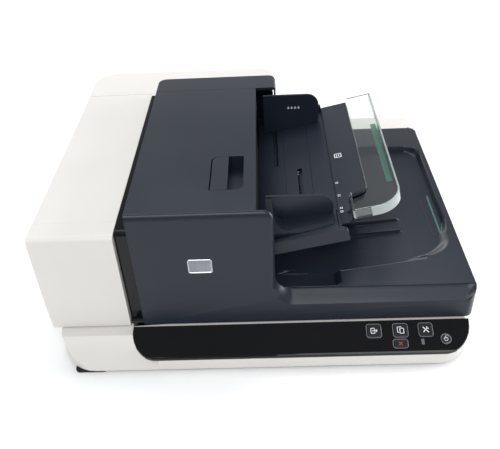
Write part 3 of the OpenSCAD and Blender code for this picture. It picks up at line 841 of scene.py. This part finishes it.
@dataclass
class ControlPanel:
    """Polished panel with its keys, their rims and marks."""

    cap_top: float = 1.2
    key_corner: float = 3.0
    rim_gap: float = 0.5
    rim_width: float = 0.7
    rim_foot: float = -0.5
    rim_height: float = 0.35
    ink_foot: float = 0.3
    ink_height: float = 0.08
    power_middle: Point2 = (256.0, -29.0)
    power_radius: float = 8.0
    # Step in from the radius and height of each ring of the power key's cap, from its hidden flange inwards
    power_profile: tuple[Point2, ...] = (
        (-1.5, -5.5), (-1.5, -3.4), (0, -3.4), (0, 0.5), (0.25, 1.0), (0.9, 1.2), (1.6, 1.1), (2.2, 0.75),
        (4.0, 0.6), (7.4, 0.5),
    )
    power_rim: tuple[Point2, ...] = ((1.9, 0.4), (0.5, 0.4), (0.6, 1.25), (1.8, 1.2))
    power_sides: int = 48
    mark_radius: float = 2.6

    def build(self) -> None:
        """Builds the panel, its keys and the light."""
        moulded_from("control_panel", GLOSS_ABS, 0.8)
        for key in KEYS:
            moulded_from(key.node, KEY_ABS, 0.6)
            self.add_rim(key)
            self.add_mark(key)
        self.add_power_key()
        dress_node("status_light", STATUS_GLOW)

    def key_ring(self, key: Key, grow: float, h: float) -> list[Point3]:
        """Outline of a key's hole, grown outwards.

        Args:
            key: The key.
            grow: How far the ring lies outside the key.
            h: Height off the panel.

        Returns:
            The ring.
        """
        (x, y), wide, tall = key.middle, key.width / 2 + grow, key.length / 2 + grow
        outline = rounded_outline((x - wide, y - tall), (x + wide, y + tall), [self.key_corner + grow] * 4)
        return [PANEL.put(u, v, h) for u, v in outline]

    def add_rim(self, key: Key) -> None:
        """Adds the thin bright rim round a key's hole.

        Args:
            key: The key.
        """
        inner, outer = self.rim_gap, self.rim_gap + self.rim_width
        low, high = self.rim_foot, self.rim_height
        section = ((inner, low), (outer, low), (outer, high), (inner, high))
        mesh = loft(key.node + "_rim", [self.key_ring(key, grow, h) for grow, h in section], closed=True)
        place_piece(mesh, BADGE_METAL, "control_panel")

    def add_mark(self, key: Key) -> None:
        """Prints a key's mark on its cap.

        Args:
            key: The key.
        """
        x, y = key.middle
        mesh = Mark(key.strokes, key.stroke).mesh(
            key.node + "_mark", lambda u, v, h: PANEL.put(x + u, y + v, h),
            self.cap_top - self.ink_foot, self.cap_top + self.ink_height,
        )
        place_piece(mesh, key.ink, key.node)

    def power_ring(self, step: float, h: float) -> list[Point3]:
        """Ring round the power key.

        Args:
            step: How far it lies inside the key's radius.
            h: Height off the panel.

        Returns:
            The ring.
        """
        last = 360 * (self.power_sides - 1) / self.power_sides
        outline = arc(self.power_middle, self.power_radius - step, 0, last, self.power_sides - 1)
        return [PANEL.put(u, v, h) for u, v in outline]

    def add_power_key(self) -> None:
        """Builds the round power key as a turned cap with a dished face, a rim and its mark."""
        cap = loft("power_key_cap", [self.power_ring(step, h) for step, h in self.power_profile])
        place_piece(cap, KEY_ABS, "power_button", replace=True)
        rim = loft("power_key_rim", [self.power_ring(step, h) for step, h in self.power_rim], closed=True)
        place_piece(rim, SATIN_CAP, "power_button")
        x, y = self.power_middle
        stem = ((x, y + 1.0), (x, y + 1.0 + self.mark_radius))
        strokes = path_strokes(arc(self.power_middle, self.mark_radius, 125, 415, 14)) + (stem,)
        mesh = Mark(strokes, 0.8).mesh("power_key_mark", PANEL.put, 0.3, 0.72)
        place_piece(mesh, WHITE_INK, "power_button")


@dataclass
class Tower:
    """White covers on the left and behind the feeder, with the black strip beside them."""

    edge: float = 2.4

    def build(self) -> None:
        """Builds the covers."""
        moulded_from("side_front_cover", WHITE_ABS, self.edge)
        moulded_from("side_cover", WHITE_ABS, self.edge)
        moulded_from("rear_side_cover", WHITE_ABS, self.edge)
        moulded_from("rear_strip", WHITE_ABS, 2.0)
        moulded_from("trim_strip", GLOSS_ABS, 0.8)


@dataclass(frozen=True)
class Station:
    """A point on the front cover's outline, and how its edge turns over on to the face."""

    at: Point2
    inset: Point2
    deep: float
    bevel: float = 0.0


@dataclass
class FrontCover:
    """Dark front of the feeder, which drops to the low band before the output tray."""

    left: float = -168.0
    right: float = 22.0
    end: float = 301.0
    foot: float = 48.0
    top: float = 236.0
    rim: float = 95.5
    face_y: float = -228.0
    back_y: float = -209.3
    lean: float = 4.0
    shoulder: float = 14.0
    hollow: float = 24.0
    tip: float = 3.0
    level_end: float = 285.0
    # How far each edge reaches in over the face, and how deep it goes
    top_in: float = 11.0
    top_deep: float = 5.4
    side: float = 6.0
    band_in: float = 15.5
    band_deep: float = 18.0
    end_in: float = 14.0
    plain: float = 1.0
    steps: int = 8
    shares: tuple[float, ...] = (0, 0.08, 0.25, 0.45, 0.65, 0.82, 0.94, 1.0)

    def stations(self) -> list[Station]:
        """Points round the outline of the cover.

        Returns:
            The points: left edge, shoulder, hollow, band's tip and right end.
        """
        found = [
            Station((self.left, self.foot), (self.plain, self.plain), self.plain),
            Station((self.left, self.top), (self.plain, -self.top_in), self.top_deep),
        ]
        middle = (self.right - self.shoulder, self.top - self.shoulder)
        for i, (x, z) in enumerate(arc(middle, self.shoulder, 90, 0, self.steps)):
            t = i / self.steps
            reach = (self.top_in + (self.side - self.top_in) * t) / self.shoulder
            inset = ((middle[0] - x) * reach, (middle[1] - z) * reach)
            found.append(Station((x, z), inset, self.top_deep + (self.side - self.top_deep) * t))
        middle = (self.right + self.hollow, self.rim + self.hollow)
        for i, (x, z) in enumerate(arc(middle, self.hollow, 180, 270, self.steps + 2)):
            t = i / (self.steps + 2)
            reach = (self.side + (self.band_in - self.side) * t) / self.hollow
            inset = ((x - middle[0]) * reach, (z - middle[1]) * reach)
            found.append(Station((x, z), inset, self.side + (self.band_deep - self.side) * t, t))
        found.append(Station((self.level_end, self.rim), (0, -self.band_in), self.band_deep, 1))
        for i, at in enumerate(arc((self.end - self.tip, self.rim - self.tip), self.tip, 90, 0, self.steps)):
            found.append(Station(at, (-self.end_in, -self.band_in), self.band_deep, 1 - i / self.steps))
        found.append(Station((self.end, self.foot), (-self.end_in, self.plain), self.band_deep))
        return found

    def depth_at(self, z: float) -> float:
        """Depth of the leaning face at a height."""
        return self.face_y + (z - self.foot) * math.tan(math.radians(self.lean))

    def build(self) -> None:
        """Builds the cover as rings from its back edge over the rounding to the face."""
        stations = self.stations()
        rings: list[list[Point3]] = [[(station.at[0], self.back_y, station.at[1]) for station in stations]]
        for share in self.shares:
            turn = math.radians(90 * share)
            ring = []
            for station in stations:
                inward = (1 - math.cos(turn)) * (1 - station.bevel) + share * station.bevel
                back = (1 - math.sin(turn)) * (1 - station.bevel) + (1 - share) * station.bevel
                x, z = (at + step * inward for at, step in zip(station.at, station.inset))
                ring.append((x, min(self.depth_at(z) + station.deep * back, self.back_y - 0.02), z))
            rings.append(ring)
        place_piece(loft("front_cover_face", rings), SLATE_ABS, "front_cover", replace=True, angle=24.0)


@dataclass
class Badge:
    """Plain bright plaque with a raised rim, on the feeder's face."""

    low: Point2 = (-94.0, 142.0)
    high: Point2 = (-61.0, 165.0)
    corner: float = 3.0
    face_foot: float = 48.0
    face_y: float = -228.0
    lean: float = 4.0
    # Step in from the outline and height off the face of each ring
    plaque: tuple[Point2, ...] = ((0, -1.0), (0, 0.5), (0.3, 0.8), (1.0, 0.8), (1.5, 0.35), (9.0, 0.5))
    middle: tuple[Point2, ...] = ((1.9, 0.0), (1.9, 0.55), (2.3, 0.62), (9.0, 0.7))

    def ring(self, shrink: float, proud: float) -> list[Point3]:
        """Ring of the plaque.

        Args:
            shrink: How far it lies inside the outline.
            proud: Height off the leaning face.

        Returns:
            The ring.
        """
        (x0, z0), (x1, z1) = self.low, self.high
        outline = rounded_outline(
            (x0 + shrink, z0 + shrink), (x1 - shrink, z1 - shrink), [max(0.4, self.corner - shrink)] * 4
        )
        slope = math.tan(math.radians(self.lean))
        return [(x, self.face_y + (z - self.face_foot) * slope - proud, z) for x, z in outline]

    def build(self) -> None:
        """Builds the plaque and the duller field inside its rim."""
        plaque = loft("badge_plaque", [self.ring(*step) for step in self.plaque])
        place_piece(plaque, BADGE_METAL, "badge", replace=True)
        middle = loft("badge_field", [self.ring(*step) for step in self.middle])
        place_piece(middle, SATIN_CAP, "badge")


@dataclass
class FeederTop:
    """Hatch with its latch and seam, and the cover behind it."""

    hatch_edge: float = 1.6
    seam_x: float = -62.0
    seam_width: float = 0.7
    seam_run: Point2 = (-208.6, -164.6)
    seam_heights: Point2 = (235.6, 236.04)

    def build(self) -> None:
        """Builds the hatch, the latch and the rear cover."""
        moulded_from("hatch", SLATE_ABS, self.hatch_edge)
        moulded_from("hatch_latch", SLATE_ABS, 0.9)
        moulded_from("rear_cover", SLATE_ABS, self.hatch_edge)
        x, half = self.seam_x, self.seam_width / 2
        outline = rounded_outline((x - half, self.seam_run[0]), (x + half, self.seam_run[1]), [0.2] * 4, 2)
        mesh = loft("hatch_seam", plate(outline, *self.seam_heights, lambda u, v, h: (u, v, h)))
        place_piece(mesh, INNER_ABS, "hatch")


@dataclass(frozen=True)
class Climb:
    """A height that rises evenly from one place across the machine to another, and then runs level."""

    low: float
    rise: float
    start: float
    stop: float

    def at(self, x: float) -> float:
        """Height at a place across the machine."""
        return self.low + self.rise * (min(x, self.stop) - self.start) / (self.stop - self.start)


@dataclass
class OutputTray:
    """Dished output tray with its scoop, gutter, ribs and broad near corner."""

    left: float = 18.0
    right: float = 301.0
    near: float = -208.8
    far: float = 214.0
    foot: float = 52.0
    rim: float = 95.5
    edge: float = 3.0
    far_corner: float = 16.0
    box_near: float = 150.4
    box_right: float = 34.3
    floor: Climb = Climb(66, 18, 10, 232)
    # Plans: lowest corner, highest corner and the radii of the corners
    basin: tuple[Point2, Point2, tuple[float, ...]] = ((-60, -151), (292, 148), (1, 52, 26, 1))
    scoop: tuple[Point2, Point2, tuple[float, ...]] = ((-60, -206.5), (115, -146), (1, 9, 9, 1))
    scoop_floor: float = 83.0
    # How far each wall reaches in from its plan, and out past it
    basin_wall: float = 4.0
    corner_wall: float = 16.0
    scoop_wall: float = 8.0
    gutter_wall: float = 9.0
    lip: float = 0.6
    gutter_floor: Climb = Climb(60, 16, 10, 238)
    gutter_end_rise: float = 9.0
    # Where the near corner broadens, the gutter fades, and the ribs start, stop and slope off to each side
    corner_x: Point2 = (200, 270)
    corner_y: Point2 = (-60, -110)
    gutter_end: Point2 = (185, 230)
    rib_start: Point2 = (60, 100)
    rib_stop: Point2 = (217, 225)
    rib_flank: Point2 = (0.7, 2.8)
    gutter: tuple[Point2, ...] = (
        (-40, -165), (10, -165), (120, -168), (240, -150), (238, -138), (230, -119), (176, -119), (10, -151),
        (-40, -151),
    )
    rib_lines: tuple[float, ...] = (-53.5, -81.5)
    rib_height: float = 6.0
    slot_low: Point2 = (267.5, -94.5)
    slot_high: Point2 = (284.5, 4.5)
    slot_heights: Point2 = (83.0, 84.25)

    @staticmethod
    def lines(bands: Sequence[Point3]) -> list[float]:
        """Grid lines of the height field.

        Args:
            bands: Start, end and spacing of each band.

        Returns:
            The lines, ends included.
        """
        found: list[float] = []
        for start, stop, gap in bands:
            count = max(1, round((stop - start) / gap))
            found += [start + (stop - start) * i / count for i in range(count)]
        return found + [bands[-1][1]]

    def gutter_distance(self, p: Point2) -> float:
        """Signed distance to the gutter's outline.

        Args:
            p: Point in plan.

        Returns:
            The distance, negative inside.
        """
        nearest, inside = math.inf, False
        for (ax, ay), (bx, by) in zip(self.gutter, self.gutter[1:] + self.gutter[:1]):
            ex, ey = bx - ax, by - ay
            t = min(1.0, max(0.0, ((p[0] - ax) * ex + (p[1] - ay) * ey) / (ex * ex + ey * ey)))
            nearest = min(nearest, math.hypot(p[0] - ax - ex * t, p[1] - ay - ey * t))
            if (ay > p[1]) != (by > p[1]) and p[0] < ax + ex * (p[1] - ay) / ey:
                inside = not inside
        return -nearest if inside else nearest

    def wall(self, floor: float, inner: float, outer: float, distance: float) -> float:
        """Height beside a wall that climbs from a floor to the rim.

        Args:
            floor: Height of the floor.
            inner: How far the wall reaches in from its plan.
            outer: How far it reaches out.
            distance: Signed distance to the plan.

        Returns:
            The height.
        """
        return floor + (self.rim - floor) * smoothstep(-inner, outer, distance)

    def height(self, x: float, y: float) -> float:
        """Height of the tray's upper surface.

        Args:
            x: Place across the machine.
            y: Place from front to back.

        Returns:
            The height in millimetres.
        """
        floor, p = self.floor.at(x), (x, y)
        corner = smoothstep(*self.corner_x, x) * smoothstep(*self.corner_y, y)
        reach = self.basin_wall + self.corner_wall * corner
        found = self.wall(floor, reach, self.lip, round_rect_distance(p, *self.basin))
        scoop = self.wall(self.scoop_floor, self.scoop_wall, self.lip, round_rect_distance(p, *self.scoop))
        deep = self.gutter_floor.at(x) + self.gutter_end_rise * smoothstep(*self.gutter_end, x)
        found = min(found, scoop, self.wall(deep, self.gutter_wall, self.gutter_wall, self.gutter_distance(p)))
        rise = self.rib_height * smoothstep(*self.rib_start, x) * (1 - smoothstep(*self.rib_stop, x))
        for line in self.rib_lines:
            found = max(found, floor + rise * (1 - smoothstep(*self.rib_flank, abs(y - line))))
        low, high = (-60, self.near - 20), (self.right, self.far)
        outside = -round_rect_distance(p, low, high, (1, 1, self.far_corner, 1))
        if 0 <= outside < self.edge:
            found -= self.edge * (1 - math.sqrt(1 - (1 - outside / self.edge) ** 2))
        return found

    def plan_point(self, x: float, y: float) -> Point2:
        """Pulls a grid point in to the rounded far corner, and clear of the feeder's box.

        Args:
            x: Place across the machine.
            y: Place from front to back.

        Returns:
            The point in plan.
        """
        dx, dy = x - self.right + self.far_corner, y - self.far + self.far_corner
        if dx > 0 and dy > 0:
            pull = max(dx, dy) / math.hypot(dx, dy)
            x, y = x - dx * (1 - pull), y - dy * (1 - pull)
        return (max(x, self.box_right) if y > self.box_near else x, y)

    def build(self) -> None:
        """Builds the tray's skin, its skirt and its underside."""
        finest = 4.0
        xs = self.lines((
            (self.left, 96, 4), (96, 126, 1.5), (126, 214, 2), (214, self.right - finest, 1.8),
            (self.right - finest, self.right, 0.8),
        ))
        ys = self.lines((
            (self.near, -110, 1.3), (-110, -88, 1.8), (-88, -46, 1.1), (-46, 138, 5), (138, 152, 1.6),
            (152, self.far - finest, 4), (self.far - finest, self.far, 0.8),
        ))
        plan = [self.plan_point(x, y) for y in ys for x in xs]
        points = [(x, y, self.height(x, y)) for x, y in plan]
        wide, tall = len(xs), len(ys)
        faces = [[j * wide + i, j * wide + i + 1, (j + 1) * wide + i + 1, (j + 1) * wide + i]
                 for j in range(tall - 1) for i in range(wide - 1)]
        border = list(range(wide)) + [j * wide + wide - 1 for j in range(1, tall)]
        border += [(tall - 1) * wide + i for i in range(wide - 2, -1, -1)]
        border += [j * wide for j in range(tall - 2, 0, -1)]
        start = len(points)
        points += [(*plan[b], self.foot) for b in border]
        for k, b in enumerate(border):
            n = (k + 1) % len(border)
            faces.append([border[n], b, start + k, start + n])
        faces.append([start + k for k in range(len(border))])
        mesh = mesh_from("output_tray_skin", points, faces)
        place_piece(mesh, SLATE_ABS, "output_tray", replace=True, angle=50.0)
        self.build_stop()

    def build_stop(self) -> None:
        """Builds the sea-green paper stop and the dark slot that it folds from."""
        moulded_from("paper_stop", SEA_PC, 0.5, 2)
        (x0, y0), (x1, y1), (low, high) = self.slot_low, self.slot_high, self.slot_heights
        outer = rounded_outline((x0, y0), (x1, y1), [2.0] * 4, 3)
        inner = rounded_outline((x0 + 1, y0 + 1), (x1 - 1, y1 - 1), [1.5] * 4, 3)
        rings = [[(x, y, h) for x, y in o] for o, h in ((inner, low), (outer, low), (outer, high), (inner, high))]
        place_piece(loft("stop_slot_rim", rings, closed=True), INNER_ABS, "output_tray")


@dataclass
class InputTray:
    """Sloping tray with its guides, marks, slots and clear extension."""

    guide_edge: float = 1.3
    arrow_x: tuple[float, ...] = (54.0, 59.7, 65.4, 71.1)
    arrow_z: float = 205.0
    size_marks: tuple[float, ...] = (-79.0, -110.0, -139.0, -147.0)
    size_mark_up: float = 120.0
    ink_heights: Point2 = (-0.3, 0.08)
    rear_face_y: float = 106.0
    rim_middle: Point2 = (168.0, -122.0)
    rim_radius: float = 36.0
    rim_start: float = 8.0
    rim_end: float = 153.0
    # Inset from the edge and height off the tray of the rim's corners
    rim_section: tuple[Point2, ...] = ((0.3, -9.6), (3.2, -9.6), (3.2, 4.6), (2.5, 5.3), (1.0, 5.3), (0.3, 4.6))

    def build(self) -> None:
        """Builds the tray's pieces."""
        moulded_from("input_tray", SLATE_ABS, 0.35, 2)
        moulded_from("input_tray_base", SLATE_ABS, 1.2)
        moulded_from("guide_front", SLATE_ABS, self.guide_edge)
        moulded_from("guide_rear", SLATE_ABS, self.guide_edge)
        moulded_from("tray_extension", CLEAR_PC, 0.8)
        self.mark_guide()
        self.mark_end()
        self.mark_extension()

    def mark_guide(self) -> None:
        """Prints four arrows on the rear guide that show how high the stack may be."""
        strokes: list[Stroke] = []
        z = self.arrow_z
        for x in self.arrow_x:
            point = (x, z - 1.4)
            strokes += [((x, z + 3.0), (x, z - 1.0)), ((x - 1.5, z + 0.6), point), ((x + 1.5, z + 0.6), point)]
        mesh = Mark(tuple(strokes), 0.9).mesh(
            "rear_guide_marks", lambda u, v, h: (u, self.rear_face_y - h, v), *self.ink_heights
        )
        place_piece(mesh, WHITE_INK, "guide_rear")

    @staticmethod
    def box_strokes(middle: Point2, wide: float, tall: float) -> tuple[Stroke, ...]:
        """Strokes round a box.

        Args:
            middle: Middle of the box.
            wide: Half its width.
            tall: Half its height.

        Returns:
            The strokes.
        """
        (x, y), turns = middle, ((-1, -1), (1, -1), (1, 1), (-1, 1))
        return path_strokes([(x + wide * i, y + tall * j) for i, j in turns], True)

    def mark_end(self) -> None:
        """Prints the size marks and a page mark on the tray's fixed end."""
        strokes: tuple[Stroke, ...] = ()
        for y in self.size_marks:
            strokes += self.box_strokes((self.size_mark_up, y), 1.5, 1.6)
        sizes = Mark(strokes, 0.7).mesh("size_marks", TRAY.put, *self.ink_heights)
        place_piece(sizes, WHITE_INK, "input_tray_base")
        lines = (((127, -11.5), (127, -6.5)), ((130.5, -11.5), (130.5, -6.5)))
        page = Mark(self.box_strokes((129, -9), 5, 5) + lines, 1.2).mesh("page_mark", TRAY.put, *self.ink_heights)
        place_piece(page, WHITE_INK, "input_tray_base")

    def rim_path(self, inset: float) -> list[Point2]:
        """Path of the extension's rim: a short run, its near corner and its right side.

        Args:
            inset: How far the path lies inside the extension's edge.

        Returns:
            The points, from the near side round to the far end.
        """
        x, y = self.rim_middle
        radius = self.rim_radius - inset
        return [(x - self.rim_start, y - radius), *arc((x, y), radius, 270, 360, 14), (x + radius, self.rim_end)]

    def mark_extension(self) -> None:
        """Adds the extension's thick rim and the ridges along its near side, both drawn whitish as painted
        highlight, and a green strip of painted light for the tint seen through the rim wall.
        """
        # The rim copies the clear rim wall in the whitish plate, as painted highlight.
        paths = [self.rim_path(inset) for inset, _ in self.rim_section]
        rings = [[TRAY.put(*p, h) for p, (_, h) in zip(points, self.rim_section)] for points in zip(*paths)]
        place_piece(loft("extension_rim", rings), RIM_HIGHLIGHT_PC, "tray_extension")
        # The green strip is painted light: it stands in for the tint seen through the rim wall, not for a real
        # band.
        outline = rounded_outline((190, -92), (199, 71), [1.5] * 4, 3)
        place_piece(loft("extension_painted_tint_band", plate(outline, -7.6, -7.0, TRAY.put)), PAINTED_EDGE_TINT_PC, "tray_extension")
        # The ridges are real; their whitish colour is painted highlight.
        ridges = tuple(((158.5, y), (161.0, y)) for y in range(-92, 150, 6))
        place_piece(Mark(ridges, 1.6).mesh("extension_ridges", TRAY.put, -7.7, -6.6), RIM_HIGHLIGHT_PC, "tray_extension")


@dataclass
class Mechanism:
    """Working parts inside the lid, which keep their CAD shape or get rounded edges."""

    kept: dict[str, Finish] = field(default_factory=lambda: {
        "lid_hinge_pins": SHAFT_STEEL, "platen_pad": PAD_FOIL, "feed_belt": BELT_RUBBER,
        "feed_motor": ZINC_STEEL, "feed_roller": ROLLER_RUBBER, "separation_roller": ROLLER_RUBBER,
        "turn_roller": ROLLER_RUBBER, "exit_roller": ROLLER_RUBBER, "pinch_rollers": ROLLER_RUBBER,
        "guide_pinion": ACETAL, "second_side_sensor": INNER_ABS,
    })

    def build(self) -> None:
        """Builds the frame parts and dresses the rest."""
        for node in ("lid_frame", "feeder_frame", "paper_guide"):
            moulded_from(node, INNER_ABS, 0.8, 2)
        for node, finish in self.kept.items():
            dress_node(node, finish)


# ---------------------------------------------------------------- studio


@dataclass(frozen=True)
class Lamp:
    """A soft light: its middle, the point that it faces, its size in millimetres and its power in watts."""

    name: str
    place: Point3
    target: Point3
    width: float
    height: float
    power: float


LAMPS = (
    Lamp("key_softbox", (-100, 950, 2300), (0, 0, 80), 2400, 1200, 33),
    Lamp("back_window", (-200, 2600, 420), (0, 0, 80), 2800, 600, 20),
    Lamp("right_window", (2300, 300, 700), (0, 0, 80), 1800, 900, 44),
    Lamp("front_softbox", (-200, -1750, 2150), (0, -150, 80), 2400, 1000, 40),
)


@dataclass
class Studio:
    """Pale floor, soft light and the camera."""

    lens: float = 42.77
    place: Point3 = (17.8, -793.3, 694.4)
    pitch: float = 39.46
    roll: float = -3.45
    heading: float = -2.56
    floor_reach: float = 6000.0
    sky_strength: float = 0.42

    def build(self) -> None:
        """Builds the floor, the lights and the camera."""
        self.add_floor()
        self.add_world()
        for lamp in LAMPS:
            self.add_lamp(lamp)
        self.add_camera()
        bpy.context.scene.view_settings.view_transform = "Standard"

    def add_floor(self) -> None:
        """Adds the floor under the feet."""
        paint = bpy.data.materials.new("studio_floor_paint")
        paint.use_nodes = True
        shader = paint.node_tree.nodes["Principled BSDF"]
        shader.inputs["Base Color"].default_value = srgb("#fafafa")
        shader.inputs["Roughness"].default_value = 0.9
        r = self.floor_reach
        mesh = mesh_from("studio_floor", [(-r, -r, 0), (r, -r, 0), (r, r, 0), (-r, r, 0)], [[0, 1, 2, 3]])
        mesh.materials.append(paint)
        floor = bpy.data.objects.new("studio_floor", mesh)
        bpy.context.scene.collection.objects.link(floor)

    def add_world(self) -> None:
        """Adds even light from all round."""
        world = bpy.data.worlds.new("studio_world")
        world.use_nodes = True
        sky = world.node_tree.nodes["Background"]
        sky.inputs["Color"].default_value = srgb("#f4f7fb")
        sky.inputs["Strength"].default_value = self.sky_strength
        bpy.context.scene.world = world

    def add_lamp(self, lamp: Lamp) -> None:
        """Adds one soft light.

        Args:
            lamp: The light.
        """
        light = bpy.data.lights.new(lamp.name, "AREA")
        light.shape = "RECTANGLE"
        light.size, light.size_y = lamp.width * MM, lamp.height * MM
        light.energy = lamp.power
        panel = bpy.data.objects.new(lamp.name, light)
        panel.location = Vector(lamp.place) * MM
        panel.rotation_euler = (Vector(lamp.target) - Vector(lamp.place)).to_track_quat("-Z", "Y").to_euler()
        bpy.context.scene.collection.objects.link(panel)

    def add_camera(self) -> None:
        """Adds the camera, turned by heading, then pitch, then roll."""
        turn = (
            Matrix.Rotation(math.radians(self.roll), 3, "Z")
            @ Matrix.Rotation(math.radians(self.pitch), 3, "X")
            @ Matrix(((1, 0, 0), (0, 0, -1), (0, 1, 0)))
            @ Matrix.Rotation(math.radians(self.heading), 3, "Z")
        )
        right, down, ahead = turn[0], turn[1], turn[2]
        pose = Matrix.Identity(4)
        for i in range(3):
            pose[i][0], pose[i][1], pose[i][2] = right[i], -down[i], -ahead[i]
            pose[i][3] = self.place[i] * MM
        data = bpy.data.cameras.new("studio_camera")
        data.lens = self.lens
        data.sensor_width = 36.0
        data.clip_start, data.clip_end = 0.01, 50.0
        camera = bpy.data.objects.new("studio_camera", data)
        camera.matrix_world = pose
        bpy.context.scene.collection.objects.link(camera)
        bpy.context.scene.camera = camera


def main() -> None:
    """Builds every sub-assembly in order, then the studio."""
    logging.basicConfig(level=logging.INFO, format="%(name)s: %(message)s")
    ScannerBase().build()
    ControlPanel().build()
    Tower().build()
    FrontCover().build()
    Badge().build()
    FeederTop().build()
    OutputTray().build()
    InputTray().build()
    Mechanism().build()
    Studio().build()


if __name__ == "__main__":
    main()
